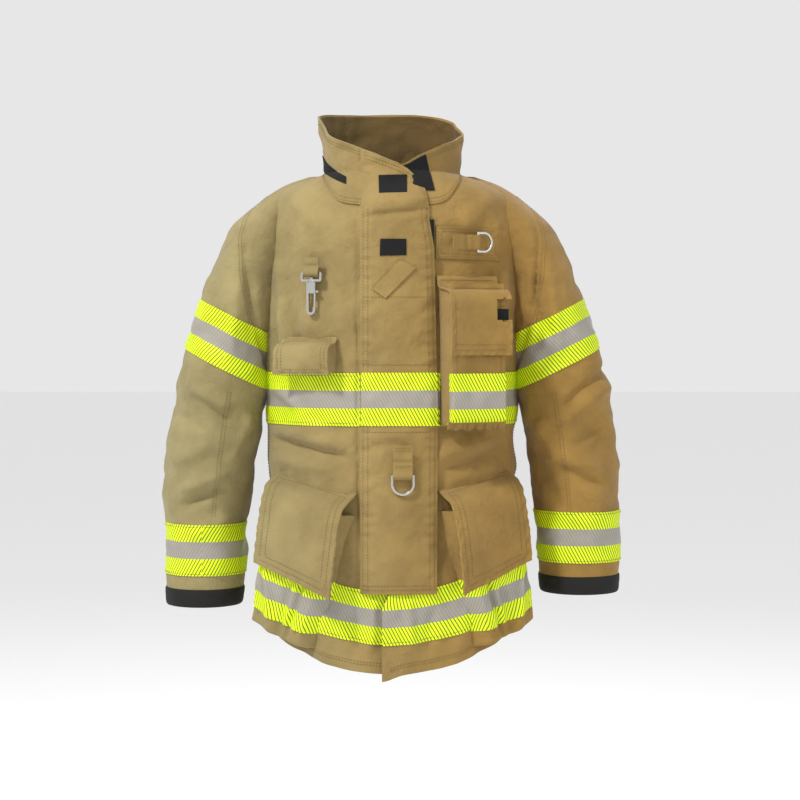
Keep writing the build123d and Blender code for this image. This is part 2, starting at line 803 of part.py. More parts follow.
mic_plane = upright(front_plane(mic_ring_x, mic_ring_height, 12, 30))
with BuildPart() as mic_strap:
    add(webbing_loop(mic_plane, mic_ring_width - 2 * ring_wire - 2, 42))
keep(mic_strap, "mic_strap")

with BuildPart() as mic_ring:
    add(d_ring(mic_plane, mic_ring_width, mic_ring_drop))
keep(mic_ring, "mic_ring")

# loop patches on the outside of the collar, for the throat closure
with BuildPart() as collar_patches:
    for x_limits in ((-90, -60), (60, 90)):
        region = band(x_limits, neck_height + 4, neck_height + 47)
        add(common(cut_out(collar_form(sewn_gap + patch_wall), collar_form(sewn_gap)), region))
    add(above_collar.part, mode=Mode.SUBTRACT)
keep(collar_patches, "collar_patches")

# --- trigger snap on a strap: swinging eye, swivelling body and sprung bolt ----------------------
hook_plane = front_plane(hook_x, hook_height, 13, -24)
eye_inner = hook_eye_width - 2 * hook_wire
with BuildPart() as hook_strap:
    with BuildSketch(
        Plane(
            origin=hook_plane.origin - hook_plane.x_dir * (eye_inner - 3) / 2,
            x_dir=hook_plane.z_dir, z_dir=hook_plane.x_dir,
        )
    ):
        with Locations((-bar_reach + loop_wall, -11)):
            Rectangle(2 * loop_wall, 22)
        Circle(bar_reach)
        Circle(bar_reach - loop_wall, mode=Mode.SUBTRACT)
        with Locations((-9, -18)):
            Rectangle(13, 8)
    extrude(amount=eye_inner - 3)
    add(body_form(sewn_gap), mode=Mode.SUBTRACT)
keep(hook_strap, "hook_strap")

shank_radius = 2.0
boss_radius = 4.6
boss_height = 4.0
with BuildPart() as hook_eye:
    with BuildSketch(hook_plane.offset(-hook_wire / 2)):
        with Locations((0, -hook_eye_drop / 2)):
            RectangleRounded(hook_eye_width, hook_eye_drop + hook_wire, 3)
            RectangleRounded(eye_inner, hook_eye_drop - hook_wire, 1.2, mode=Mode.SUBTRACT)
    extrude(amount=hook_wire)
    across_boss = Plane(
        origin=hook_plane.origin - hook_plane.y_dir * (hook_eye_drop + boss_height / 2),
        x_dir=hook_plane.x_dir, z_dir=hook_plane.y_dir,
    )
    with BuildSketch(across_boss):
        Circle(boss_radius)
    extrude(amount=boss_height)
    with BuildSketch(across_boss.offset(-1)):
        Circle(shank_radius + running_room)
    extrude(amount=boss_height + 2, mode=Mode.SUBTRACT)
keep(hook_eye, "hook_eye")

hook_top = -hook_eye_drop - boss_height / 2 - 0.4
barrel_end = hook_top - 16
hook_end = hook_top - hook_length + hook_half_width
inner_half = hook_half_width - 3.6
bolt_x = hook_half_width - 1.9
with BuildPart() as hook_body:
    with BuildSketch(hook_plane.offset(-hook_thickness / 2)):
        with BuildLine():
            Polyline(
                (hook_half_width, hook_end + 4), (hook_half_width, hook_end)
            )
            ThreePointArc(
                (hook_half_width, hook_end), (0, hook_end - hook_half_width), (-hook_half_width, hook_end)
            )
            Polyline(
                (-hook_half_width, hook_end), (-hook_half_width, hook_top), (hook_half_width, hook_top),
                (hook_half_width, barrel_end), (-inner_half, barrel_end), (-inner_half, hook_end),
            )
            ThreePointArc((-inner_half, hook_end), (0, hook_end - inner_half), (inner_half, hook_end))
            Polyline(
                (inner_half, hook_end), (inner_half, hook_end + 4), (hook_half_width, hook_end + 4)
            )
        make_face()
    extrude(amount=hook_thickness)
    down_plane = Plane(
        origin=hook_plane.origin + hook_plane.y_dir * (hook_top - 1),
        x_dir=hook_plane.x_dir, z_dir=hook_plane.y_dir,
    )
    with BuildSketch(down_plane):
        Circle(shank_radius)
    extrude(amount=boss_height + 2)
    with BuildSketch(down_plane.offset(boss_height + 2)):
        Circle(shank_radius + 1.1)
    extrude(amount=1.4)
    bolt_plane = Plane(
        origin=hook_plane.origin + hook_plane.x_dir * bolt_x + hook_plane.y_dir * barrel_end,
        x_dir=hook_plane.x_dir, z_dir=hook_plane.y_dir,
    )
    with BuildSketch(bolt_plane.offset(-1)):
        Circle(bolt_radius + running_room)
    extrude(amount=15.4, mode=Mode.SUBTRACT)
    with BuildSketch(hook_plane.offset(-1.8)):
        with Locations((hook_half_width, barrel_end + 7.2)):
            Rectangle(2 * (hook_half_width - bolt_x), 14.4)
    extrude(amount=3.6, mode=Mode.SUBTRACT)
keep(hook_body, "hook_body")

bolt_length = barrel_end - hook_end - 4 - 0.3
with BuildPart() as hook_bolt:
    with BuildSketch(bolt_plane.offset(-bolt_length)):
        Circle(bolt_radius)
    extrude(amount=bolt_length + 4.6)
    with BuildSketch(hook_plane.offset(-1.4)):
        with Locations((hook_half_width + 1.2, barrel_end + 2.4)):
            Rectangle(6.4, 3)
    extrude(amount=2.8)
keep(hook_bolt, "hook_bolt")

# --- sleeves: upper sleeve, forearm, trim, black cuff and knit wristlet --------------------------
above_elbow = block((-far, far), (-far, far), (up(elbow_height), up(neck_height) + 40))
elbow_start = elbow_roller(elbow_radius - moving_gap)
elbow_end = elbow_roller(elbow_radius)
slope = math.radians(upper_trim_slope)
for side in (-1, 1):
    name = side_name[side]
    bottom = cuff_bottom[side]
    all_x = (-far, far)
    body_room = body_form(2.5)
    tube = cut_out(
        outer_sleeve[side], inner_sleeve[side], shoulder_roller(side, shoulder_radius + 2), body_room
    )
    lower = common(tube, block(all_x, all_x, (up(bottom + cuff_band + sewn_gap), up(elbow_height))))

    with BuildPart() as upper_sleeve:
        add(common(tube, above_elbow))
        add(common(tube, elbow_start, block(all_x, all_x, (up(200), up(elbow_height)))))
    keep(upper_sleeve, f"{name}_upper_sleeve")

    with BuildPart() as forearm:
        add(lower)
        add(elbow_end, mode=Mode.SUBTRACT)
    keep(forearm, f"{name}_forearm")

    with BuildPart() as trim_slab:
        with BuildSketch(Plane.XZ.offset(-far / 2)):
            joint = Vector(side * shoulder_x, up(shoulder_height))
            along = Vector(side * math.sin(slope), -math.cos(slope))
            across = Vector(side * math.cos(slope), math.sin(slope))
            near = joint + along * upper_trim_reach
            end = near + along * trim_width
            corners = (near - across * 200, near + across * 200, end + across * 200, end - across * 200)
            with BuildLine():
                Polyline(*[(p.X, p.Y) for p in corners], close=True)
            make_face()
        extrude(amount=far)
    with BuildPart() as upper_trim:
        add(sleeve_skin(side, sewn_gap, sewn_gap + trim_wall, trim_slab.part))
        add(shoulder_roller(side, shoulder_radius + 2), mode=Mode.SUBTRACT)
        add(body_form(2.5), mode=Mode.SUBTRACT)
        add(above_elbow, mode=Mode.INTERSECT)
    keep(upper_trim, f"{name}_upper_trim")

    trim_low = up(bottom + cuff_trim_rise)
    with BuildPart() as cuff_trim:
        add(
            sleeve_skin(
                side, sewn_gap, sewn_gap + trim_wall, block(all_x, all_x, (trim_low, trim_low + trim_width))
            )
        )
    keep(cuff_trim, f"{name}_cuff_trim")

    with BuildPart() as cuff:
        add(
            sleeve_skin(
                side, -shell_wall, sewn_gap + trim_wall,
                block(all_x, all_x, (up(bottom), up(bottom + cuff_band))),
            )
        )
    keep(cuff, f"{name}_cuff")

    wristlet_out = -shell_wall - sewn_gap
    with BuildPart() as wristlet:
        add(
            sleeve_skin(
                side, wristlet_out - wristlet_wall, wristlet_out,
                block(all_x, all_x, (up(bottom + 6), up(bottom + 6 + wristlet_length))),
            )
        )
    keep(wristlet, f"{name}_wristlet")
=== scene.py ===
import math

import bpy
import numpy as np
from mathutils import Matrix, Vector


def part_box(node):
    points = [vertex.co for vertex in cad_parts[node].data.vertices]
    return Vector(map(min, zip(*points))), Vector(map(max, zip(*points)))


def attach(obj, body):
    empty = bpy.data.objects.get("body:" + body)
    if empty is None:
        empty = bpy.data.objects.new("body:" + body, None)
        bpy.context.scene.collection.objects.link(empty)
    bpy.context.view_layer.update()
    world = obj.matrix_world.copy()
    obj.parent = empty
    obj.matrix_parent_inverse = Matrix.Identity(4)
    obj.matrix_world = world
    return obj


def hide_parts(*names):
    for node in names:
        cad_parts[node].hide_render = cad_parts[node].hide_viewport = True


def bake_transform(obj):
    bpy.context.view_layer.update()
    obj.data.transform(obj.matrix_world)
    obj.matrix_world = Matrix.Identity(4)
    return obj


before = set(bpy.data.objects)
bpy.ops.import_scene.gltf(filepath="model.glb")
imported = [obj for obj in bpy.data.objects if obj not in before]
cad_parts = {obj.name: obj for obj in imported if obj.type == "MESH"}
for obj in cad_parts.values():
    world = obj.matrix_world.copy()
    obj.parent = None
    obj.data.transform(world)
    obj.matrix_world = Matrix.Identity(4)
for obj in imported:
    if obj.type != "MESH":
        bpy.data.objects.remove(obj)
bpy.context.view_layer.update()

bpy.ops.object.select_all(action="DESELECT")

# --- Heavy turnout canvas -------------------------------------------------------------------------
# Aramid twill, dyed khaki and washed.  It is dull and dry, with a diagonal rib and slight mottling.
# Its colour is painted light: a greyer, lighter khaki at the wearer's right and a darker, warmer gold at the
# left, as if lit from the right.
def paint(code):
    """An sRGB hex colour as the linear colour that a shader takes."""
    parts = [int(code[i:i + 2], 16) / 255 for i in (1, 3, 5)]
    return tuple(c / 12.92 if c <= 0.04045 else ((c + 0.055) / 1.055) ** 2.4 for c in parts) + (1.0,)


def put(finish, kind, inputs=None, **settings):
    """Add a node with its settings.  An input is a value, or the socket that it is linked to."""
    node = finish.node_tree.nodes.new(kind)
    for name, value in settings.items():
        setattr(node, name, value)
    for name, value in (inputs or {}).items():
        socket = node.inputs[name]
        if isinstance(value, bpy.types.NodeSocket):
            finish.node_tree.links.new(value, socket)
        else:
            socket.default_value = value
    return node


def new_finish(name):
    """A material with its shader, both still plain."""
    finish = bpy.data.materials.new(name)
    finish.use_nodes = True
    return finish, finish.node_tree.nodes["Principled BSDF"]


def canvas_finish(name, lit_side_tint, shaded_side_tint, dark):
    """Twill canvas painted from a lighter, greyer tint to a darker, warmer one across the coat as painted
    light and shade, with dark flecks between the threads.
    """
    finish, shader = new_finish(name)
    place = put(finish, "ShaderNodeTexCoord")
    parts = put(finish, "ShaderNodeSeparateXYZ", {0: place.outputs["Object"]})
    # painted light and shade: by its X position the canvas goes from the lit side's lighter, greyer tint at
    # the wearer's right to the shaded side's darker, warmer tint at the left
    side = put(finish, "ShaderNodeMapRange", {
        "Value": parts.outputs["X"], "From Min": -0.30, "From Max": 0.22}, interpolation_type="SMOOTHSTEP")
    base = put(finish, "ShaderNodeMix", {
        0: side.outputs["Result"], 6: paint(lit_side_tint), 7: paint(shaded_side_tint)}, data_type="RGBA")
    cloud = put(finish, "ShaderNodeTexNoise", {
        "Vector": place.outputs["Object"], "Scale": 14.0, "Detail": 4.0, "Roughness": 0.6})
    cloudy = put(finish, "ShaderNodeMapRange", {
        "Value": cloud.outputs[0], "From Min": 0.35, "From Max": 0.68, "To Min": 0.0, "To Max": 0.30})
    mottled = put(finish, "ShaderNodeMix", {
        0: cloudy.outputs["Result"], 6: base.outputs[2], 7: paint(dark)}, data_type="RGBA")
    # twill ribs 0.8 mm apart would be lost, so they are drawn 1.9 mm apart
    rib = put(finish, "ShaderNodeTexWave", {
        "Vector": place.outputs["UV"], "Scale": 234.0, "Distortion": 0.6, "Detail": 1.0,
        "Detail Scale": 2.0}, wave_type="BANDS", bands_direction="DIAGONAL")
    fleck = put(finish, "ShaderNodeTexNoise", {
        "Vector": place.outputs["UV"], "Scale": 700.0, "Detail": 2.0, "Roughness": 0.7})
    weave = put(finish, "ShaderNodeMath", {0: rib.outputs["Fac"], 1: fleck.outputs[0]}, operation="MULTIPLY")
    thread = put(finish, "ShaderNodeMapRange", {
        "Value": weave.outputs[0], "From Min": 0.05, "From Max": 0.5, "To Min": 0.24, "To Max": 0.0})
    colour = put(finish, "ShaderNodeMix", {
        0: thread.outputs["Result"], 6: mottled.outputs[2], 7: paint(dark)}, data_type="RGBA")
    crumple = put(finish, "ShaderNodeTexNoise", {
        "Vector": place.outputs["Object"], "Scale": 38.0, "Detail": 5.0, "Roughness": 0.55,
        "Distortion": 0.5})
    soft = put(finish, "ShaderNodeBump", {
        "Height": crumple.outputs[0], "Strength": 0.45, "Distance": 0.010})
    fine = put(finish, "ShaderNodeBump", {
        "Height": weave.outputs[0], "Strength": 0.5, "Distance": 0.0008, "Normal": soft.outputs[0]})
    wear = put(finish, "ShaderNodeMapRange", {
        "Value": cloud.outputs[0], "To Min": 0.78, "To Max": 0.92})
    links = finish.node_tree.links
    links.new(colour.outputs[2], shader.inputs["Base Color"])
    links.new(wear.outputs["Result"], shader.inputs["Roughness"])
    links.new(fine.outputs[0], shader.inputs["Normal"])
    shader.inputs["Sheen Weight"].default_value = 0.12
    shader.inputs["Sheen Roughness"].default_value = 0.5
    shader.inputs["Specular IOR Level"].default_value = 0.25
    return finish


# first the painted lit side's tint, then the painted shaded side's tint, then the flecks' dark
canvas = canvas_finish("turnout_canvas", "#A19466", "#A48040", "#43361A")
# the lining is the same canvas painted in darker browns: painted shade for the shadow inside the collar
shaded_lining_canvas = canvas_finish("lining_canvas_painted_shade", "#6E5D34", "#644B22", "#2C2110")

# --- Body: two fronts and a back ------------------------------------------------------------------
# Shell of double canvas, cut to a round body with sloping shoulders and a curved hem, sewn at the
# side seams.  It is creased at the waist and beside the armholes, where it folds when it hangs.
mm = 0.001
neck_height = 753.0     # collar seam above the level that heights are counted from


def along_rows(rows, at):
    """Smooth curve through the rows' values, at the given values of their first column."""
    table = np.array(rows, float)
    key, values = table[:, 0], table[:, 1:]
    slope = np.gradient(values, key, axis=0)
    at = np.asarray(at, float)
    i = np.clip(np.searchsorted(key, at) - 1, 0, len(key) - 2)
    span = (key[i + 1] - key[i])[..., None]
    s = np.clip((at - key[i])[..., None] / span, 0, 1)
    blend_in = s * s * (3 - 2 * s)
    curve = (1 - blend_in) * values[i] + blend_in * values[i + 1]
    return curve + span * (s * (1 - s) ** 2 * slope[i] - s * s * (1 - s) * slope[i + 1])


def ripple(points, size, seed):
    """Smooth irregular waves about size long, roughly from -1 to 1, the same on every run."""
    draw = np.random.default_rng(seed)
    ways = draw.normal(size=(9, 3))
    ways *= (draw.uniform(0.6, 1.5, 9) / np.linalg.norm(ways, axis=1) / size)[:, None]
    starts = draw.uniform(0, 2 * math.pi, 9)
    return np.sin(2 * math.pi * (points @ ways.T) + starts).sum(axis=-1) / 3.6


def crease(x, h, start, end, width, rise):
    """A ridge, or with a negative rise a furrow, along a line on the cloth, fading at its ends."""
    a, b = np.array(start, float), np.array(end, float)
    run = b - a
    t = ((x - a[0]) * run[0] + (h - a[1]) * run[1]) / (run @ run)
    near = np.clip(t, 0, 1)
    away = np.hypot(x - a[0] - near * run[0], h - a[1] - near * run[1])
    fade = np.clip(1.15 - (2 * np.abs(t - 0.5)) ** 3, 0, 1)
    return rise * np.exp(-(away / width) ** 2) * fade


def folded(x, h, folds):
    """All of the folds together, at points of the cloth."""
    return sum(crease(x, h, *fold) for fold in folds)


def sew(name, points, wall, body=None, finish=canvas, facing=None, across=None,
        drop=None, ring=False, replaces=()):
    """A cloth piece from a grid of points in mm on the form that it hangs on.

    Its wall goes inward from the grid, so it is a closed sheet with real edges.
    """
    rows, cols = points.shape[:2]
    steps_u = np.linalg.norm(np.diff(points[rows // 2], axis=0), axis=1)
    steps_v = np.linalg.norm(np.diff(points[:, cols // 2], axis=0), axis=1)
    u = np.concatenate(([0], np.cumsum(steps_u))) * mm
    v = np.concatenate(([0], np.cumsum(steps_v))) * mm
    if across:
        v = np.linspace(0, across * mm, rows)
    faces = []
    for i in range(rows - 1):
        for j in range(cols - 1):
            if drop is None or not drop[i, j]:
                faces.append((i * cols + j, i * cols + j + 1, (i + 1) * cols + j + 1, (i + 1) * cols + j))
    mesh = bpy.data.meshes.new(name)
    place = points.reshape(-1, 3) * mm
    mesh.from_pydata(place.tolist(), [], faces)
    layer = mesh.uv_layers.new(name="cloth")
    corner = np.zeros(len(mesh.loops), np.int32)
    mesh.loops.foreach_get("vertex_index", corner)
    flat = np.stack([np.tile(u, rows), np.repeat(v, cols)], axis=1)[corner]
    layer.data.foreach_set("uv", flat.ravel())
    mesh.update()
    piece = bpy.data.objects.new(name, mesh)
    bpy.context.scene.collection.objects.link(piece)
    bpy.ops.object.select_all(action="DESELECT")
    piece.select_set(True)
    bpy.context.view_layer.objects.active = piece
    normals = np.zeros(len(mesh.polygons) * 3)
    centres = np.zeros(len(mesh.polygons) * 3)
    mesh.polygons.foreach_get("normal", normals)
    mesh.polygons.foreach_get("center", centres)
    normals, centres = normals.reshape(-1, 3), centres.reshape(-1, 3)
    outward = centres - place.mean(axis=0) if facing is None else np.array(facing)
    lean = (normals * outward).sum()
    bpy.ops.object.mode_set(mode="EDIT")
    bpy.ops.mesh.select_all(action="SELECT")
    if ring:
        bpy.ops.mesh.remove_doubles(threshold=0.00005)
    bpy.ops.mesh.delete_loose()
    bpy.ops.mesh.select_all(action="SELECT")
    if lean < 0:
        bpy.ops.mesh.flip_normals()
    bpy.ops.object.mode_set(mode="OBJECT")
    walled = piece.modifiers.new("wall", "SOLIDIFY")
    walled.thickness = wall * mm
    walled.offset = -1.0
    walled.use_rim = True
    bpy.ops.object.modifier_apply(modifier="wall")
    bpy.ops.object.shade_smooth_by_angle(angle=math.radians(50))
    piece.data.materials.append(finish)
    if body:
        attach(piece, body)
    if replaces:
        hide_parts(*replaces)
    return piece


stitch_step, stitch_length, thread_half = 4.6, 3.4, 0.55


def stitch(name, lines, body=None):
    """Rows of lockstitch: each line is points in mm on the cloth, each stitch a small raised thread."""
    corners, faces = [], []
    for line in lines:
        line = np.asarray(line, float)
        steps = np.linalg.norm(np.diff(line, axis=0), axis=1)
        far_along = np.concatenate(([0], np.cumsum(steps)))
        for begin in np.arange(1.0, far_along[-1] - 4.0, stitch_step):
            a = np.array([np.interp(begin, far_along, line[:, k]) for k in range(3)])
            b = np.array([np.interp(begin + stitch_length, far_along, line[:, k]) for k in range(3)])
            run = (b - a) / max(np.linalg.norm(b - a), 1e-6)
            side = np.cross(run, (0.3, -1.0, 0.2))
            side /= max(np.linalg.norm(side), 1e-6)
            out = np.cross(side, run)
            middle = (a + b) / 2
            at = len(corners)
            wide, high = side * thread_half, out * thread_half
            for p in (a, b, middle + wide, middle - wide, middle + high, middle - high):
                corners.append(p * mm)
            for f in ((0, 2, 4), (2, 1, 4), (1, 3, 4), (3, 0, 4), (2, 0, 5), (1, 2, 5), (3, 1, 5), (0, 3, 5)):
                faces.append(tuple(at + k for k in f))
    mesh = bpy.data.meshes.new(name)
    mesh.from_pydata([tuple(c) for c in corners], [], faces)
    mesh.update()
    piece = bpy.data.objects.new(name, mesh)
    bpy.context.scene.collection.objects.link(piece)
    bpy.ops.object.select_all(action="DESELECT")
    piece.select_set(True)
    bpy.context.view_layer.objects.active = piece
    bpy.ops.object.mode_set(mode="EDIT")
    bpy.ops.mesh.select_all(action="SELECT")
    bpy.ops.mesh.normals_make_consistent(inside=False)
    bpy.ops.object.mode_set(mode="OBJECT")
    piece.data.materials.append(thread)
    if body:
        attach(piece, body)
    return piece


# Spun aramid thread, a little darker and shinier than the canvas that it closes.
thread, shader = new_finish("aramid_thread")
place = put(thread, "ShaderNodeTexCoord")
ply = put(thread, "ShaderNodeTexNoise", {"Vector": place.outputs["Object"], "Scale": 900.0})
shade = put(thread, "ShaderNodeMix", {
    0: ply.outputs[0], 6: paint("#7C6532"), 7: paint("#5E4B20")}, data_type="RGBA")
thread.node_tree.links.new(shade.outputs[2], shader.inputs["Base Color"])
shader.inputs["Roughness"].default_value = 0.6

hem_radius = (220 ** 2 + 78 ** 2) / (2 * 78)
hem_middle = 30.0
body_rows = (
    (0, 197, 158, 150), (200, 188, 148.8, 142), (364, 180, 141.3, 134), (480, 192, 135.9, 140),
    (570, 200, 131.8, 140), (640, 202, 128.6, 128), (690, 196, 126.3, 112), (715, 182, 119, 98),
    (735, 152, 108, 88), (753, 101, 98, 78),
)
sleeve_rows = (
    (100, 283, 54, 58), (141, 281, 58, 60), (234, 279, 61, 66), (320, 272, 66, 73), (370, 265, 68, 76),
    (420, 257, 68, 79), (500, 240, 66, 83), (570, 222, 60, 86), (640, 205, 53, 82), (686, 186, 43, 70),
    (708, 168, 34, 54), (726, 148, 31, 40), (741, 126, 25, 24), (750, 110, 14, 12),
)


def hem_height(x):
    return hem_middle + hem_radius - np.sqrt(hem_radius ** 2 - np.clip(x, -210, 210) ** 2)


# each fold has a start and an end, as X and height, then a width and how far it stands out
front_folds = (
    ((-176, 362), (-62, 338), 5, -6.0), ((-172, 376), (-56, 356), 11, 7.0),
    ((-176, 336), (-80, 318), 12, 5.0), ((-120, 398), (-60, 372), 8, -3.0),
    ((70, 322), (168, 344), 5, -6.0), ((66, 342), (172, 366), 11, 7.0),
    ((84, 306), (160, 322), 9, 4.0), ((-60, 352), (-44, 335), 8, 3.0),
    ((-130, 600), (-100, 500), 20, 4.0), ((-64, 690), (-84, 560), 16, 3.0),
)
front_folds_both_sides = (
    ((164, 620), (150, 448), 8, 9.0), ((146, 600), (132, 466), 6, -6.0),
    ((176, 440), (132, 408), 8, 4.5), ((182, 300), (176, 420), 14, 5.0),
    ((150, 735), (100, 664), 14, 5.0), ((128, 716), (88, 690), 9, -3.0),
    ((30, 60), (24, 140), 7, 5.0), ((52, 50), (60, 130), 9, -5.0), ((90, 34), (104, 120), 12, 6.0),
    ((128, 44), (132, 130), 9, -5.0),
)
back_folds = (
    ((-120, 360), (110, 372), 9, -6.0), ((-140, 392), (130, 398), 15, 6.0),
    ((-90, 330), (60, 336), 12, 5.0), ((-150, 620), (-60, 480), 16, 6.0),
    ((150, 620), (70, 470), 16, 6.0), ((-10, 690), (0, 470), 26, 3.0),
    ((-70, 60), (-60, 260), 16, 6.0), ((80, 60), (72, 240), 18, 6.0),
    ((-120, 640), (-30, 560), 10, -3.0), ((120, 640), (40, 566), 10, -3.0),
)
flap_seam_x = -49.0


def body_creases(x, h, front):
    """How far the body's cloth stands out of its plain form, in mm."""
    out = folded(x, h, front_folds)
    out += -2.5 * np.exp(-((x - flap_seam_x) / 2.5) ** 2) * np.clip((h - 150) / 20, 0, 1)
    for side in (-1, 1):
        out += folded(side * x, h, front_folds_both_sides)
    return np.where(front, out, folded(x, h, back_folds))


def body_surface(turn, h, out=0.0):
    """Points in mm on the body: turn is the angle from the front towards the wearer's left."""
    turn, h = np.broadcast_arrays(np.asarray(turn, float), np.asarray(h, float))
    form = along_rows(body_rows, h)
    half, front, back = form[..., 0], form[..., 1], form[..., 2]
    is_front = np.cos(turn) > 0
    plain = np.stack([half * np.sin(turn), -front * np.cos(turn), h], axis=-1)
    calm = np.clip((745 - h) / 60, 0.15, 1)
    stand = body_creases(half * np.sin(turn), h, is_front)
    stand = stand + ripple(plain, 120, 4) * 2.2 + ripple(plain, 46, 5) * 1.1 + ripple(plain, 22, 6) * 0.4
    grow = out + stand * calm
    depth = np.where(is_front, front, back) + grow
    return np.stack([(half + grow) * np.sin(turn), -depth * np.cos(turn), h - neck_height], axis=-1)


def front_surface(x, h, out=0.0):
    """Points in mm on the body's front at an X and a height."""
    x, h = np.broadcast_arrays(np.asarray(x, float), np.asarray(h, float))
    half = along_rows(body_rows, h)[..., 0] + out
    return body_surface(np.arcsin(np.clip(x / half, -0.9999, 0.9999)), h, out)


def in_sleeve(points, inset):
    """Which points, in mm, are inside a sleeve's form by at least inset."""
    h = points[..., 2] + neck_height
    form = along_rows(sleeve_rows, h)
    across = (np.abs(points[..., 0]) - form[..., 0]) / np.maximum(form[..., 1] - inset, 1)
    deep = points[..., 1] / np.maximum(form[..., 2] - inset, 1)
    near_joint = np.hypot(np.abs(points[..., 0]) - 175, h - 622) < 80
    return (across ** 2 + deep ** 2 < 1) & near_joint


front_gap = math.asin(6 / 197)


def lap(turn, h):
    """The left front's edge below the flap: it swings over the right front's, and stands off it."""
    low = np.clip((165 - h) / 40, 0, 1)
    near = np.clip(1 - (turn - front_gap) / 0.40, 0, 1) ** 2
    return turn - 0.095 * low * near, 12.0 * low * near


panels = (
    ("right_front_canvas", -math.pi / 2, -front_gap, "right_front_panel"),
    ("left_front_canvas", front_gap, math.pi / 2, "left_front_panel"),
    ("back_canvas", math.pi / 2, 3 * math.pi / 2, "back_panel"),
)
rise = np.linspace(0, 1, 190)[:, None]
seams = []
for name, first, last, node in panels:
    turn = np.linspace(first, last, 90 if node != "back_panel" else 170)[None, :]
    low = hem_height(197 * np.sin(turn))
    if node == "left_front_panel":
        low = low - 9 * np.exp(-((turn - front_gap) / 0.07) ** 2)
    h = low + rise * (neck_height - low)
    swung, off = lap(turn, h) if node == "left_front_panel" else (turn, 0)
    grid = body_surface(swung, h, off)
    centre = (grid[1:, 1:] + grid[:-1, :-1]) / 2
    sew(name, grid, 2.2, "coat", drop=in_sleeve(centre, 6), replaces=(node,))
    row = np.argmin(np.abs(h[:, 0] - low[0, 0] - 10))
    seams += [grid[row, 2:-2] + (0, -0.4, 0), grid[row + 1, 2:-2] + (0, -0.4, 0)]
side_heights = np.linspace(100, 452, 90)
for side in (-1, 1):
    for shift in (-0.035, 0.035):
        seams.append(body_surface(side * (math.pi / 2 + shift), side_heights, 0.5))
seams.append(body_surface(np.linspace(2.2, 4.08, 80), 640, 0.5))       # the back yoke
stitch("body_seams", seams, "coat")

# --- Sleeves --------------------------------------------------------------------------------------
# Canvas sleeves set into the armholes, one tube each, sewn down the inside.  They crease in front of the
# elbow and under the arm.
cuff_bottom = {-1: 112.0, 1: 131.0}
side_name = {-1: "right", 1: "left"}
sleeve_split = 440.0        # between the upper and the lower sleeve pieces


sleeve_folds = {-1: (
    ((-290, 428), (-236, 388), 6, -7.0), ((-304, 440), (-240, 404), 10, 8.0),
    ((-312, 262), (-240, 294), 6, -7.0), ((-314, 282), (-240, 312), 11, 8.0),
    ((-206, 396), (-240, 322), 8, 7.0), ((-222, 604), (-236, 478), 9, 7.0),
    ((-206, 620), (-206, 500), 7, -6.0), ((-324, 326), (-262, 354), 10, 6.0),
    ((-262, 600), (-286, 520), 14, 5.0), ((-240, 250), (-300, 216), 11, 4.0),
    ((-318, 400), (-268, 372), 8, -4.0),
), 1: (
    ((322, 470), (246, 408), 6, -7.0), ((326, 448), (252, 388), 11, 8.0),
    ((310, 296), (240, 322), 6, -6.0), ((314, 314), (240, 342), 11, 7.0),
    ((228, 604), (246, 486), 9, 7.0), ((208, 620), (214, 500), 7, -6.0),
    ((214, 390), (242, 316), 9, 7.0), ((276, 590), (296, 500), 12, 5.0),
    ((316, 380), (262, 350), 8, -4.0), ((236, 260), (300, 232), 11, 4.0),
)}
sleeve_back_folds = (
    ((220, 350), (310, 380), 11, 7.0), ((230, 420), (310, 400), 9, -6.0),
    ((240, 300), (320, 320), 11, 6.0), ((230, 600), (262, 500), 12, 5.0),
)


def armhole_line(h):
    """How far the armhole seam is from the coat's middle, at a height."""
    return np.interp(h, (450, 530, 600, 660, 700, 720), (180, 198, 212, 215, 203, 188))


def sleeve_surface(side, turn, h, out=0.0):
    """Points in mm on a sleeve: turn is 0 in front and a right angle on the outside of the arm."""
    turn, h = np.broadcast_arrays(np.asarray(turn, float), np.asarray(h, float))
    form = along_rows(sleeve_rows, h)
    centre, half, deep = form[..., 0], form[..., 1], form[..., 2]
    x = side * (centre + half * np.sin(turn))
    plain = np.stack([x, -deep * np.cos(turn), h], axis=-1)
    calm = np.clip((720 - h) / 90, 0.0, 1) * np.clip((h - 135) / 60, 0.12, 1)
    in_front = folded(x, h, sleeve_folds[side])
    stand = np.where(np.cos(turn) > 0, in_front, folded(side * x, h, sleeve_back_folds))
    from_seam = np.abs(x) - armhole_line(h)
    stand = stand - 5.0 * np.exp(-(from_seam / 4.5) ** 2) * np.clip((h - 440) / 30, 0, 1)
    stand = stand + ripple(plain, 110, 11 + side) * 2.8 + ripple(plain, 44, 15 + side) * 1.4
    stand = stand + ripple(plain, 22, 19) * 0.4
    grow = out + stand * calm
    return np.stack([
        side * (centre + (half + grow) * np.sin(turn)), -(deep + grow) * np.cos(turn), h - neck_height,
    ], axis=-1)


def in_body(points, inset):
    """Which points, in mm, are inside the body's form by at least inset."""
    h = points[..., 2] + neck_height
    form = along_rows(body_rows, h)
    deep = np.where(points[..., 1] < 0, form[..., 1], form[..., 2]) - inset
    return (points[..., 0] / (form[..., 0] - inset)) ** 2 + (points[..., 1] / deep) ** 2 < 1


def bend_shoulder(piece):
    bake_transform(piece)


def bend_elbow(piece):
    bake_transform(piece)


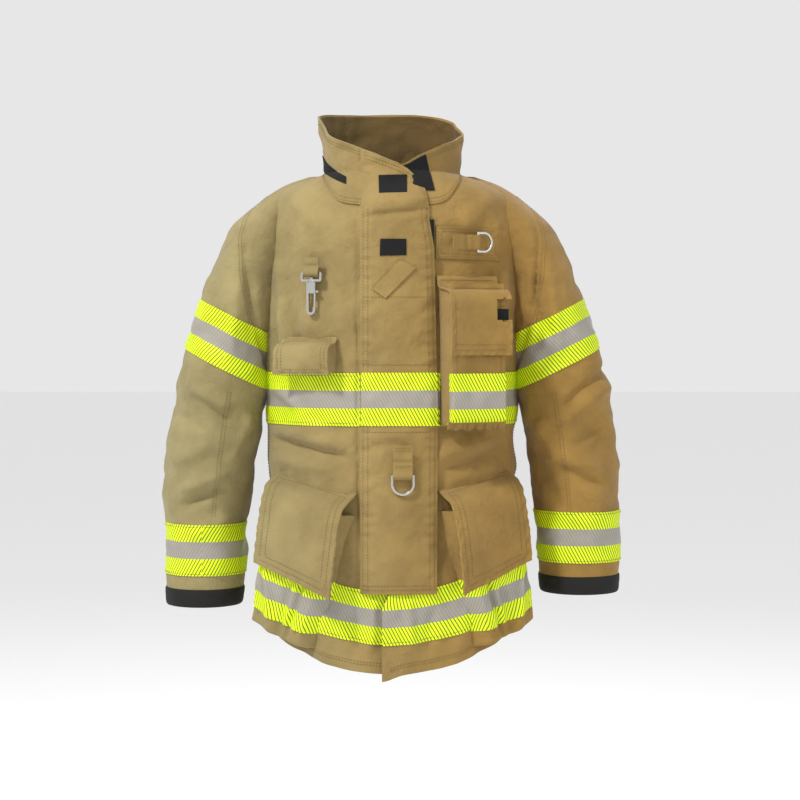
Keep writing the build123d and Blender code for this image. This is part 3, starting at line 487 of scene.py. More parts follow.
around = np.linspace(0, 2 * math.pi, 97)[None, :]
for side in (-1, 1):
    name = side_name[side]
    upper = sleeve_surface(side, around, np.linspace(sleeve_split, 750, 120)[:, None])
    centre = (upper[1:, 1:] + upper[:-1, :-1]) / 2
    piece = sew(f"{name}_upper_sleeve_canvas", upper, 2.2, drop=in_body(centre, 14), ring=True,
                replaces=(f"{name}_upper_sleeve", f"{name}_sleeve_head"))
    bend_shoulder(piece)
    lower = sleeve_surface(side, around, np.linspace(cuff_bottom[side] + 3, sleeve_split, 120)[:, None])
    piece = sew(f"{name}_lower_sleeve_canvas", lower, 2.2, ring=True, replaces=(f"{name}_forearm",))
    bend_elbow(piece)
    heights = np.linspace(470, 722, 70)
    form = along_rows(sleeve_rows, heights)
    rows = []
    for beside in (5, 9):
        across = (armhole_line(heights) + beside - form[:, 0]) / form[:, 1]
        lean = np.arcsin(np.clip(across, -0.98, 0.98))
        rows += [sleeve_surface(side, lean, heights, 0.5), sleeve_surface(side, math.pi - lean, heights, 0.5)]
    bend_shoulder(stitch(f"{name}_armhole_stitching", rows))
    heights = np.linspace(246, sleeve_split - 6, 50)
    rows = [sleeve_surface(side, turn, heights, 0.5) for turn in (-0.30, -0.23)]
    bend_elbow(stitch(f"{name}_sleeve_seam", rows))

# --- Reflective trim ------------------------------------------------------------------------------
# Three-inch triple trim: woven fluorescent lime with a retroreflective silver stripe heat-bonded down
# the middle.  Fine dark diagonal breaks let the cloth flex, and it is sewn along both edges.
trim_width = 76.0
trim, shader = new_finish("reflective_trim_tape")
place = put(trim, "ShaderNodeTexCoord")
parts = put(trim, "ShaderNodeSeparateXYZ", {0: place.outputs["UV"]})
third = put(trim, "ShaderNodeMath", {0: parts.outputs["Y"], 1: 0.076 / 2}, operation="SUBTRACT")
off_middle = put(trim, "ShaderNodeMath", {0: third.outputs[0]}, operation="ABSOLUTE")
on_lime = put(trim, "ShaderNodeMath", {0: off_middle.outputs[0], 1: 0.0127}, operation="GREATER_THAN")
# breaks 5 mm apart along the tape, leaning about 62 degrees
slanted = put(trim, "ShaderNodeMath", {0: parts.outputs["Y"], 1: 0.53}, operation="MULTIPLY")
along = put(trim, "ShaderNodeMath", {0: parts.outputs["X"], 1: slanted.outputs[0]}, operation="ADD")
count = put(trim, "ShaderNodeMath", {0: along.outputs[0], 1: 0.0050}, operation="DIVIDE")
part_way = put(trim, "ShaderNodeMath", {0: count.outputs[0]}, operation="FRACT")
is_break = put(trim, "ShaderNodeMapRange", {
    "Value": part_way.outputs[0], "From Min": 0.24, "From Max": 0.36, "To Min": 1.0, "To Max": 0.0})
dirt = put(trim, "ShaderNodeTexNoise", {"Vector": place.outputs["Object"], "Scale": 30.0, "Detail": 4.0})
lime = put(trim, "ShaderNodeMix", {
    0: dirt.outputs[0], 6: paint("#E4FA00"), 7: paint("#D2EA00")}, data_type="RGBA")
lime_cut = put(trim, "ShaderNodeMix", {
    0: is_break.outputs[0], 6: lime.outputs[2], 7: paint("#4A5010")}, data_type="RGBA")
silver = put(trim, "ShaderNodeMix", {
    0: dirt.outputs[0], 6: paint("#A9A398"), 7: paint("#8B857B")}, data_type="RGBA")
faint = put(trim, "ShaderNodeMath", {0: is_break.outputs[0], 1: 0.40}, operation="MULTIPLY")
silver_cut = put(trim, "ShaderNodeMix", {
    0: faint.outputs[0], 6: silver.outputs[2], 7: paint("#6F6A62")}, data_type="RGBA")
tape = put(trim, "ShaderNodeMix", {
    0: on_lime.outputs[0], 6: silver_cut.outputs[2], 7: lime_cut.outputs[2]}, data_type="RGBA")
painted_glow = put(trim, "ShaderNodeMix", {
    0: on_lime.outputs[0], 6: (0, 0, 0, 1), 7: lime_cut.outputs[2]}, data_type="RGBA")
rough = put(trim, "ShaderNodeMapRange", {"Value": on_lime.outputs[0], "To Min": 0.42, "To Max": 0.7})
ridge = put(trim, "ShaderNodeBump", {"Height": is_break.outputs[0], "Strength": -0.3, "Distance": 0.0004})
for socket, out in (("Base Color", tape.outputs[2]), ("Roughness", rough.outputs[0]),
                    ("Emission Color", painted_glow.outputs[2]), ("Normal", ridge.outputs[0])):
    trim.node_tree.links.new(out, shader.inputs[socket])
# the lime is given a faint painted glow, emitted light of its own that stands in for its fluorescent dye, so
# it looks a little brighter than its light
shader.inputs["Emission Strength"].default_value = 0.06

chest_trim_height = 384.0
hem_trim_rise = 42.0
trim_out = 1.5
share = np.linspace(0, 1, 20)[:, None]
flap_free = math.asin(60 / 182)
flap_seam = math.asin(44 / 182)
quarter = math.pi / 2
body_trims = (
    ("right_front", (-quarter, -flap_seam), (-quarter, -front_gap)),
    ("left_front", (flap_free - 0.05, quarter), (front_gap, quarter)),
    ("back", (quarter, 3 * quarter), (quarter, 3 * quarter)),
)
rows = []
for name, chest_span, hem_span in body_trims:
    for band, span in (("chest", chest_span), ("hem", hem_span)):
        turn = np.linspace(*span, 150)[None, :]
        low = chest_trim_height + 0 * turn
        if band == "hem":
            low = hem_height(195 * np.sin(turn)) + hem_trim_rise
        heights = low + share * trim_width
        swung, off = lap(turn, heights) if (name, band) == ("left_front", "hem") else (turn, 0)
        grid = body_surface(swung, heights, trim_out + off)
        sew(f"{name}_tape_{band}", grid, 1.2, "coat", finish=trim,
            across=trim_width, replaces=(f"{name}_trim",) if band == "chest" else ())
        rows += [grid[1, ::2] + (0, -0.3, 0), grid[-2, ::2] + (0, -0.3, 0)]
stitch("body_trim_stitching", rows, "coat")

upper_trim_reach = 82.0
upper_slope = math.radians(27.0)
for side in (-1, 1):
    name = side_name[side]
    # the upper band lies square to the sleeve, so its height falls from the body to the outside
    turn = np.linspace(0, 2 * math.pi, 121)[None, :]

    def level(reach):
        """Heights round the sleeve of a cut square to the upper arm, reach below the joint."""
        h = np.full(turn.shape, 500.0)
        for _ in range(12):
            x = side * sleeve_surface(side, turn, h)[..., 0]
            h = 605 - (reach - (x - 175) * math.sin(upper_slope)) / math.cos(upper_slope)
        return h

    low, high = level(upper_trim_reach + trim_width), level(upper_trim_reach)
    grid = sleeve_surface(side, turn, low + share * (high - low), trim_out)
    centre = (grid[1:, 1:] + grid[:-1, :-1]) / 2
    piece = sew(f"{name}_upper_tape", grid, 1.2, finish=trim, across=trim_width,
                ring=True, drop=in_body(centre, 2), replaces=(f"{name}_upper_trim",))
    bend_shoulder(piece)
    low = cuff_bottom[side] + 47
    grid = sleeve_surface(side, turn, low + share * trim_width, trim_out)
    sew(f"{name}_cuff_tape", grid, 1.2, f"{name}_forearm", finish=trim,
        across=trim_width, ring=True, replaces=(f"{name}_cuff_trim",))
    rows = [sleeve_surface(side, turn[0], low + up, trim_out + 0.3) for up in (3, trim_width - 3)]
    stitch(f"{name}_cuff_tape_stitching", rows, f"{name}_forearm")

# --- Black cuffs ----------------------------------------------------------------------------------
# Cuff ends bound with black suede-faced reinforcement, folded over the edge and sewn.
binding, shader = new_finish("black_cuff_suede")
place = put(binding, "ShaderNodeTexCoord")
nap = put(binding, "ShaderNodeTexNoise", {"Vector": place.outputs["Object"], "Scale": 420.0, "Detail": 3.0})
worn = put(binding, "ShaderNodeTexNoise", {"Vector": place.outputs["Object"], "Scale": 24.0, "Detail": 4.0})
shade = put(binding, "ShaderNodeMix", {
    0: worn.outputs[0], 6: paint("#0A0909"), 7: paint("#1A1816")}, data_type="RGBA")
bump = put(binding, "ShaderNodeBump", {"Height": nap.outputs[0], "Strength": 0.5, "Distance": 0.0008})
binding.node_tree.links.new(shade.outputs[2], shader.inputs["Base Color"])
binding.node_tree.links.new(bump.outputs[0], shader.inputs["Normal"])
shader.inputs["Roughness"].default_value = 0.9
for side in (-1, 1):
    name = side_name[side]
    turn = np.linspace(0, 2 * math.pi, 97)[None, :]
    up = np.array([0.0, 1.5, 6, 12, 18, 24, 26, 26.6])[:, None]
    out = np.array([0.2, 1.6, 2.4, 2.2, 2.4, 2.0, 1.2, 0.0])[:, None]
    grid = sleeve_surface(side, turn, cuff_bottom[side] + up, out)
    sew(f"{name}_cuff_binding", grid, 3.0, f"{name}_forearm", finish=binding, ring=True,
        replaces=(f"{name}_cuff",))

# --- Collar ---------------------------------------------------------------------------------------
# Standing collar of stiffened canvas with a softer lining.  Its top edge is highest behind the head
# and falls to the throat, and black loop patches take the throat closure.
collar_rows = ((0, 101, 98, 78), (30, 103, 100, 81), (60, 106, 102, 84), (102, 111, 105, 89))
collar_top = (
    (-180, 99), (-140, 96), (-105, 91), (-84, 82), (-66, 60), (-48, 46), (-24, 31), (-10, 22), (0, 8),
    (10, 10), (25, 24), (38, 34), (62, 47), (82, 58), (100, 68), (130, 88), (160, 98), (180, 99),
)
collar_foot = ((-180, -6), (-90, -6), (-70, -22), (-50, -44), (-27, -51), (27, -51), (50, -44), (70, -22),
               (90, -6), (180, -6))


def collar_surface(turn, up, out=0.0):
    """Points in mm on the collar.  Below its oval it lies on the coat's front, down to its seam."""
    turn, up = np.broadcast_arrays(np.asarray(turn, float), np.asarray(up, float))
    form = along_rows(collar_rows, np.maximum(up, 0))
    half, front, back = form[..., 0] + out, form[..., 1] + out, form[..., 2] + out
    plain = np.stack([100 * np.sin(turn), -100 * np.cos(turn), up], axis=-1)
    wave = (ripple(plain, 70, 21) * 2.0 + ripple(plain, 30, 22) * 1.0) * np.clip(up / 30, 0, 1)
    depth = np.where(np.cos(turn) > 0, front, back) + wave
    x, y = (half + wave) * np.sin(turn), -depth * np.cos(turn)
    laid = front_surface(x, neck_height + np.minimum(up, 0), 3.0 + out)[..., 1]
    soft = np.clip(-up / 2, 0, 1)
    y = np.where((up < 0) & (np.cos(turn) > 0), y * (1 - soft) + np.minimum(laid, y) * soft, y)
    return np.stack([x, y, up], axis=-1)


turns = np.radians(np.linspace(0.4, 359.6, 220))[None, :]
signed = np.degrees(np.where(turns > math.pi, turns - 2 * math.pi, turns))
tops = along_rows(collar_top, signed)[..., 0]
grow = np.linspace(0, 1, 34)[:, None]
foot = along_rows(collar_foot, signed)[..., 0]
grid = collar_surface(turns, foot + grow * (tops - foot))
sew("collar_canvas", grid, 2.6, "coat", replaces=("collar_shell",))
# the facing inside the collar takes the darker lining canvas, whose browns are painted shade
grid = collar_surface(turns, -8 + grow * (tops + 5), -3.0)
sew("collar_facing", grid, 1.2, "coat", finish=shaded_lining_canvas, replaces=("collar_lining",))
rows = [collar_surface(turns[0], tops[0] - d, 0.5) for d in (6, 10)]
rows += [collar_surface(turns[0], foot[0] + d, 0.5) for d in (3, 8)]
stitch("collar_stitching", rows, "coat")

# Loop fastener: black napped tape, cut in rectangles and sewn flat.
loop, shader = new_finish("black_loop_tape")
place = put(loop, "ShaderNodeTexCoord")
nap = put(loop, "ShaderNodeTexVoronoi", {"Vector": place.outputs["Object"], "Scale": 900.0})
shade = put(loop, "ShaderNodeMix", {
    0: nap.outputs[0], 6: paint("#050505"), 7: paint("#0E0D0D")}, data_type="RGBA")
bump = put(loop, "ShaderNodeBump", {"Height": nap.outputs[0], "Strength": 0.7, "Distance": 0.0008})
loop.node_tree.links.new(shade.outputs[2], shader.inputs["Base Color"])
loop.node_tree.links.new(bump.outputs[0], shader.inputs["Normal"])
shader.inputs["Roughness"].default_value = 0.95
grow = np.linspace(0, 1, 14)[:, None]
turns = np.radians(np.linspace(9, 37, 24)[None, :] * (1 - grow * np.linspace(0, 0.26, 24)[None, :]))
tops = along_rows(collar_top, np.degrees(turns))[..., 0] - 3
grid = collar_surface(turns, -30 + grow * (tops + 30), 1.6)
sew("left_collar_loop", grid, 1.2, "coat", finish=loop, replaces=("collar_patches",))
turns = np.radians(np.linspace(-84, -40, 24))[None, :]
share_in = np.linspace(0, 1, 24)[None, :]
grid = collar_surface(turns, 6 - 26 * share_in + grow * (22 - 11 * share_in), 1.6)
sew("right_collar_loop", grid, 1.2, "coat", finish=loop)

# --- Storm flap and collar wing -------------------------------------------------------------------
# A long flap of double canvas sewn at its right edge, covering the zip and closing the throat.  Two
# rows of topstitching pucker both long edges.
flap_sewn_x, flap_low = -45.0, 145.0
wing_top = ((-45, 783), (-37, 780), (9, 763), (23, 755), (39, 740), (48, 726), (51, 714), (54, 699))


def flap_edge(h):
    """X of the flap's free edge."""
    return np.interp(h, (145, 400, 640, 680, 699, 714, 726, 740, 755), (65, 66, 61, 54, 54, 51, 48, 39, 23))


flap_folds = (
    ((-44, 352), (20, 362), 7, -2.5), ((-44, 366), (30, 374), 10, 2.5),
    ((-44, 684), (56, 694), 5, -5.0), ((-44, 702), (54, 712), 9, 4.0),
    ((-20, 560), (40, 500), 12, 2.5), ((-36, 300), (30, 260), 12, 2.5),
)


def flap_surface(x, h, out=0.0):
    """Points in mm on the storm flap's face, flat at its seam and standing off over the zip."""
    x, h = np.broadcast_arrays(np.asarray(x, float), np.asarray(h, float))
    off = 3.0 + 7.0 * np.clip((x - flap_sewn_x) / 16, 0, 1) ** 0.7
    edge = flap_edge(h)
    beside = np.minimum(x - flap_sewn_x, np.abs(edge - x))
    pucker = np.sin(h * 0.36 + 2.0 * np.sin(h * 0.051)) + 0.7 * np.sin(h * 0.21 + 1.3)
    pucker = pucker * np.exp(-((beside - 10) / 9) ** 2) * 0.75
    roll = -2.2 * np.exp(-(np.abs(edge - x) / 6) ** 2)
    plain = np.stack([x, 0 * x, h], axis=-1)
    wave = ripple(plain, 90, 31) * 1.3 + ripple(plain, 30, 32) * 0.5 + folded(x, h, flap_folds)
    face = off + pucker + roll + wave + out
    form = along_rows(body_rows, np.minimum(h, 740))
    half, front = form[..., 0], form[..., 1]
    y = -(front + face) * np.sqrt(1 - (x / (half + face)) ** 2)
    lean = along_rows(collar_rows, np.clip(h - neck_height, 0, 102))
    y_collar = -(lean[..., 1] + face) * np.sqrt(1 - (x / (lean[..., 0] + face + 6)) ** 2)
    mix = np.clip((h - 716) / 40, 0, 1)
    mix = mix * mix * (3 - 2 * mix)
    return np.stack([x, y * (1 - mix) + y_collar * mix, h - neck_height], axis=-1)


def bend_flap(piece):
    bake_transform(piece)


def on_wing(u, v):
    """Flap grid: u across from the seam to the free edge, v up from the flap's end to the wing's edge."""
    tall = np.interp(flap_sewn_x + u * 99, [p[0] for p in wing_top], [p[1] for p in wing_top])
    h = flap_low + v * (tall - flap_low)
    return flap_sewn_x + u * (flap_edge(np.minimum(h, 699)) - flap_sewn_x), h


u, v = np.meshgrid(np.linspace(0, 1, 56), np.linspace(0, 1, 300))
x, h = on_wing(u, v)
piece = sew("storm_flap_canvas", flap_surface(x, h), 3.0, facing=(0, -1, 0),
            replaces=("storm_flap", "collar_wing", "storm_flap_seam"))
bend_flap(piece)
heights = np.linspace(flap_low + 4, 700, 200)
rows = [flap_surface(flap_sewn_x + d, heights, 0.4) for d in (4, 11)]
rows += [flap_surface(flap_edge(heights) - d, heights, 0.4) for d in (4, 11)]
for level_h in (569, 472, 376, flap_low + 6, flap_low + 12):
    x = np.linspace(flap_sewn_x + 3, 60, 40)
    rows.append(flap_surface(x, level_h + 0 * x, 0.4))
x = np.linspace(-40, 50, 50)
for d in (6, 11):
    rows.append(flap_surface(x, np.interp(x, [p[0] for p in wing_top], [p[1] for p in wing_top]) - d, 0.4))
bend_flap(stitch("storm_flap_stitching", rows))

u, v = np.meshgrid(np.linspace(0, 1, 50), np.linspace(0, 1, 20))
h = chest_trim_height + 1 + v * trim_width
piece = sew("storm_flap_tape", flap_surface(-44 + u * (flap_edge(h) + 44.5), h, 1.4), 1.2, finish=trim,
            facing=(0, -1, 0), across=trim_width, replaces=("flap_trim",))
bend_flap(piece)


def flap_piece(name, corners, finish, out, wall, node):
    """A four-sided piece sewn on the storm flap: corners as X and height, round from lower left."""
    (ax, ah), (bx, bh), (cx, ch), (dx, dh) = corners
    u, v = np.meshgrid(np.linspace(0, 1, 22), np.linspace(0, 1, 18))
    x = (1 - v) * ((1 - u) * ax + u * bx) + v * ((1 - u) * dx + u * cx)
    h = (1 - v) * ((1 - u) * ah + u * bh) + v * ((1 - u) * dh + u * ch)
    return sew(name, flap_surface(x, h, out), wall, "storm_flap", finish=finish,
               facing=(0, -1, 0), replaces=(node,))


flap_piece("throat_loop_patch", ((-18, 719), (22, 720), (22, 746), (-19, 745)), loop,
           1.4, 1.2, "wing_patch")
flap_piece("chest_loop_patch", ((-17, 628), (21, 629), (21, 652), (-16, 652)), loop,
           1.4, 1.2, "flap_patch")
flap_piece("throat_tab", ((-28, 581), (-9, 567), (35, 611), (12, 622)), canvas,
           2.6, 2.2, "slant_tab")

# --- Square pockets and their lids ----------------------------------------------------------------
# Radio pocket and small chest pocket: boxes of canvas with folded corners, sewn to the coat and
# covered by lids that hang over their fronts.  The radio pocket's lid is notched for the microphone lead.
class Mount:
    """Where a pocket is sewn: its origin in mm, the way across it, up it and out of the coat."""

    def __init__(self, origin, across, out):
        self.origin, self.across, self.out = (np.array(v, float) for v in (origin, across, out))
        self.up = np.cross(self.out, self.across) * -1
        if self.up[2] < 0:
            self.up = -self.up

    def at(self, a, d, o):
        """Points at a across, d down and o out."""
        a, d, o = np.broadcast_arrays(*(np.asarray(v, float) for v in (a, d, o)))
        return self.origin + a[..., None] * self.across - d[..., None] * self.up + o[..., None] * self.out


def front_mount(x, h, degrees):
    turn = math.radians(degrees)
    half, front = along_rows(body_rows, h)[:2]
    return Mount((x, -front * math.sqrt(1 - (x / half) ** 2), h - neck_height),
                 (math.cos(turn), math.sin(turn), 0), (math.sin(turn), -math.cos(turn), 0))


def box_face(mount, width, top, height, depth_top, depth_low, seed, sag=5.0, gusset=0.06):
    """Front, sides and bottom of a soft box as one sheet, open at its mouth."""
    u = np.concatenate([np.linspace(0, gusset, 10)[:-1], np.linspace(gusset, 1 - gusset, 44),
                        np.linspace(1 - gusset, 1, 10)[1:]])
    v = np.concatenate([np.linspace(0, 0.93, 60)[:-1], np.linspace(0.93, 1, 12)])
    u, v = np.meshgrid(u, v)
    side = np.clip(np.minimum(u, 1 - u) / gusset, 0, 1)
    wall = 1 - (1 - side) ** 4
    low = np.clip((1 - v) / 0.07, 0, 1)
    floor = 1 - (1 - low) ** 4
    depth = depth_top + (depth_low - depth_top) * v
    middle = np.sin(math.pi * u) * np.sin(math.pi * np.clip(v, 0, 1)) * sag
    plain = np.stack([u * width, 0 * u, v * height], axis=-1)
    wave = ripple(plain, 60, seed) * 1.6 + ripple(plain, 24, seed + 1) * 0.7
    out = (depth + middle + wave * side) * wall * floor - 4 * (1 - wall * floor)
    a = (u - 0.5) * (width - 4 * (1 - wall))
    d = top + v * height
    return mount.at(a, d, out)


def lid_face(mount, width, profile, seed, edge_wave=1.0, skew=0.0):
    """A lid as one sheet: its profile is (out, down) from the seam over the mouth and down the front."""
    profile = np.array(profile, float)
    steps = np.concatenate(([0], np.cumsum(np.linalg.norm(np.diff(profile, axis=0), axis=1))))
    u, s = np.meshgrid(np.linspace(0, 1, 46), np.linspace(0, 1, 60))
    o, d = np.moveaxis(along_rows(np.column_stack([steps, profile]), s * steps[-1]), -1, 0)
    a = (u - 0.5) * width + skew * s
    plain = np.stack([a, 0 * a, d], axis=-1)
    beside = np.minimum(np.minimum(u, 1 - u) * width, (1 - s) * steps[-1])
    pucker = np.sin(a * 0.42 + 1.5 * np.sin(d * 0.08)) * np.sin(d * 0.33 + a * 0.11)
    o = o + ripple(plain, 70, seed) * 1.5 * s + ripple(plain, 26, seed + 1) * 0.7 * s
    o = o + edge_wave * pucker * np.exp(-(beside / 9) ** 2) * np.clip(s * 4, 0, 1)
    o = o + 3.0 * np.clip(1 - np.minimum(u, 1 - u) * 8, 0, 1) ** 2 * np.clip(s * 1.6 - 0.6, 0, 1)
    return mount.at(a, d, o), a, s * steps[-1]


def bend_lid(piece, mount, reach):
    start, end = mount.at(0, -3, -1) * mm, mount.at(0, 8, reach) * mm
    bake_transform(piece)


def lid_rows(grid, inset=3):
    """Stitch lines along a lid's sides and lower edge, just above its face."""
    lines = []
    for k in (inset, inset + 3):
        lines += [grid[6:-k, k], grid[6:-k, -1 - k], grid[-1 - k, k:-k]]
    lines.append(grid[3, 2:-2])
    lines.append(grid[6, 2:-2])
    return lines


radio = front_mount(108.0, 596.0, 22.0)
grid = box_face(radio, 90, 8, 204, 41, 46, 41, sag=3)
sew("radio_pouch", grid, 2.0, "coat", facing=tuple(radio.out), replaces=("radio_pocket",))
rows = [grid[2, 10:-10], grid[5, 10:-10], grid[6:-13, 12], grid[6:-13, -13]]
stitch("radio_pouch_stitching", [r + radio.out * 0.5 for r in rows], "coat")
pouch = grid


def laid_on(sheet, low, high, first, last, out):
    """A band of tape on a sheet's face between two levels in mm, lifted off it along out."""
    band = np.linspace(0, 1, 22)
    tape = np.zeros((22, last - first, 3))
    for k, j in enumerate(range(first, last)):
        order = np.argsort(sheet[:, j, 2])
        levels = low[j] + band * (high[j] - low[j])
        for c in range(2):
            tape[:, k, c] = np.interp(levels, sheet[order, j, 2], sheet[order, j, c])
        tape[:, k, 2] = levels
    return tape + out


level_low = np.full(pouch.shape[1], chest_trim_height - neck_height)
tape = laid_on(pouch, level_low, level_low + trim_width, 3, pouch.shape[1] - 3, radio.out * 1.5)
sew("radio_pouch_tape", tape, 1.2, "coat", finish=trim,
    facing=tuple(radio.out), across=trim_width, replaces=("radio_trim",))
# gathered canvas hem below the pouch
u, v = np.meshgrid(np.linspace(-0.5, 0.5, 80), np.linspace(0, 1, 12))
ruffle = (0.6 + np.sin(u * 47) + 0.6 * np.sin(u * 83 + 1)) * 1.8
grid = radio.at(u * 90, 205 + v * 11 + 1.2 * v * np.sin(u * 31), 41 + ruffle * (0.3 + v) - 6 * v)
sew("radio_pouch_hem", grid, 2.0, "coat", facing=tuple(radio.out))

radio_profile = ((0, -4), (3, 0), (6, 8), (30, 14), (46, 19), (52, 28), (54, 50), (55, 80), (54, 110))
grid, a, s = lid_face(radio, 94, radio_profile, 43)
middle_a = (a[1:, 1:] + a[:-1, :-1]) / 2
middle_s = (s[1:, 1:] + s[:-1, :-1]) / 2
notch = (middle_a > 24) & (np.abs(middle_s - 83) < 17 - np.abs(middle_a - 36) * 0.25)
piece = sew("radio_lid", grid, 2.6, drop=notch, facing=tuple(radio.out), replaces=("radio_flap",))
bend_lid(piece, radio, 30)
piece = stitch("radio_lid_stitching", [r + radio.out * 0.4 for r in [
    grid[3, 2:-2], grid[6, 2:-2], grid[10:-3, 3], grid[-4, 3:-3], grid[-7, 3:-3]]])
bend_lid(piece, radio, 30)
u, v = np.meshgrid(np.linspace(0, 1, 10), np.linspace(0, 1, 8))
sew("radio_lid_patch", radio.at(24 + u * 20, 44 + v * 16, 49.5), 1.2, "coat", finish=loop,
    facing=tuple(radio.out), replaces=("radio_patch",))

chest = front_mount(-118.0, 509.0, -28.0)
grid = box_face(chest, 86, 8, 41, 18, 22, 45, sag=2)
sew("chest_pouch", grid, 2.0, "coat", facing=tuple(chest.out), replaces=("chest_pocket",))
chest_profile = ((0, -3), (2, 0), (5, 4), (19, 8), (25, 13), (28, 24), (28, 38), (27, 51))
grid, a, s = lid_face(chest, 90, chest_profile, 47)
piece = sew("chest_lid", grid, 2.6, facing=tuple(chest.out), replaces=("chest_flap",))
bend_lid(piece, chest, 14)
piece = stitch("chest_lid_stitching", [r + chest.out * 0.4 for r in lid_rows(grid)])
bend_lid(piece, chest, 14)

# --- Cargo pockets --------------------------------------------------------------------------------
# Bellows bags on the hips that hang full, each with its own piece of trim, and a flap that hangs square
# to its slanted seam.
bag_folds = (((104, 40), (80, 168), 6, -9), ((16, 60), (50, 170), 10, 8), ((70, 90), (64, 170), 7, -6))
cargo_seam = {-1: ((51.0, 284.0), (166.0, 311.0)), 1: ((66.0, 290.0), (168.0, 314.0))}
for side in (-1, 1):
    name = side_name[side]
    (inner_x, inner_h), (outer_x, outer_h) = cargo_seam[side]
    ends = []
    for x, h in ((outer_x, outer_h), (inner_x, inner_h)):
        half, front = along_rows(body_rows, h)[:2]
        ends.append(np.array([side * x, -front * math.sqrt(1 - (x / half) ** 2), h - neck_height]))
    outer, inner = ends
    length = np.linalg.norm(inner - outer)
    run = (inner - outer) / length
    out = np.array([run[1], -run[0], 0]) * (1 if side < 0 else -1)
    out /= np.linalg.norm(out)

    # the bag hangs upright, so it is laid out by height and not along its flap
    flat = run * (1, 1, 0)
    flat /= np.linalg.norm(flat)
    level_run = abs(flat @ (inner - outer))
    u = np.concatenate([
        np.linspace(0, 0.07, 12)[:-1], np.linspace(0.07, 0.72, 44), np.linspace(0.72, 1, 30)[1:]])
    v = np.concatenate([np.linspace(0, 0.9, 64)[:-1], np.linspace(0.9, 1, 16)])
    u, v = np.meshgrid(u, v)
    # it spreads outward and narrows towards the front edge as it goes down
    slide = u * (1 - 0.30 * v) - 0.12 * v * (1 - u)
    spot = outer[None, None, :] * (1, 1, 0) + (slide * level_run)[..., None] * flat
    mouth = (outer[2] + (inner[2] - outer[2]) * u) - 28
    bottom = hem_height(spot[..., 0]) - neck_height + 15
    gusset = 0.07 + 0.17 * v
    wall = (1 - (1 - np.clip(u / 0.06, 0, 1)) ** 4) * (1 - (1 - np.clip((1 - u) / gusset, 0, 1)) ** 1.6)
    floor = 1 - (1 - np.clip((1 - v) / 0.06, 0, 1)) ** 4
    plain = np.stack([u * 140, 0 * u, v * 170], axis=-1)
    wave = ripple(plain, 75, 51 + side) * 2.4 + ripple(plain, 30, 55 + side) * 1.2
    furrow = folded(u * 140, v * 170, bag_folds)
    stand = (32 + 18 * v + 4 * np.sin(math.pi * u) + wave + furrow) * wall * floor + 4 * wall * floor - 4
    z = mouth + v * (bottom - mouth)
    grid = spot + stand[..., None] * out
    grid[..., 2] = z
    sew(f"{name}_cargo_pouch", grid, 2.0, "coat", facing=tuple(out), replaces=(f"{name}_cargo_bag",))
    rim = [grid[3, 10:-12] + out * 0.5, grid[6, 10:-12] + out * 0.5, grid[8:-14, 14] + out * 0.5,
           grid[8:-14, 54] + out * 0.5]
    stitch(f"{name}_cargo_pouch_stitching", rim, "coat")

    # its trim is level with the hem's own band
    tape_low = hem_height(spot[-1, :, 0]) - neck_height + hem_trim_rise
    tape = laid_on(grid, tape_low, tape_low + trim_width, 3, u.shape[1] - 3, out * 1.5)
    sew(f"{name}_cargo_tape", tape, 1.2, "coat", finish=trim, facing=tuple(out),
        across=trim_width, replaces=(f"{name}_cargo_trim",))

    # flap: from its seam on the coat out over the mouth, then down over the full bag
    profile = ((-1, -4), (6, -1), (20, 5), (34, 13), (43, 30), (50, 66), (55, 100), (58, 136))
    centre_seam = Mount(outer + run * length / 2, run, out)
    grid, a, s = lid_face(centre_seam, length, profile, 61 + side, edge_wave=1.4, skew=24)
    # it hangs upright, a little longer at its inner end
    hang = ((a - 24 * s / s.max()) / length + 0.5) * 18 - 12
    grid = grid - (hang * np.clip(s / s.max(), 0, 1) ** 1.2)[..., None] * centre_seam.up
    piece = sew(f"{name}_cargo_lid", grid, 3.0, facing=tuple(out), replaces=(f"{name}_cargo_flap",))
    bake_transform(piece)
    piece = stitch(f"{name}_cargo_lid_stitching", [r + out * 0.4 for r in lid_rows(grid)])
    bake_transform(piece)

# --- Webbing, rings and the snap hook -------------------------------------------------------------
# Folded canvas straps hold two D-rings and a trigger snap, all nickel-plated steel, bright and smooth
# with fine handling scratches.
plate, shader = new_finish("nickel_plated_steel")
place = put(plate, "ShaderNodeTexCoord")
scuff = put(plate, "ShaderNodeTexNoise", {"Vector": place.outputs["Object"], "Scale": 260.0, "Detail": 5.0})
rough = put(plate, "ShaderNodeMapRange", {"Value": scuff.outputs[0], "To Min": 0.12, "To Max": 0.34})
tone = put(plate, "ShaderNodeMix", {
    0: scuff.outputs[0], 6: paint("#D9D8D4"), 7: paint("#BEBDB8")}, data_type="RGBA")
plate.node_tree.links.new(tone.outputs[2], shader.inputs["Base Color"])
plate.node_tree.links.new(rough.outputs[0], shader.inputs["Roughness"])
shader.inputs["Metallic"].default_value = 1.0


def refinish(names, finish):
    """Give carried-over solids their finish."""
    for n in names:
        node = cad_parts[n]
        node.data.materials.clear()
        node.data.materials.append(finish)


refinish(("centre_ring", "mic_ring", "hook_eye", "hook_body", "hook_bolt"), plate)


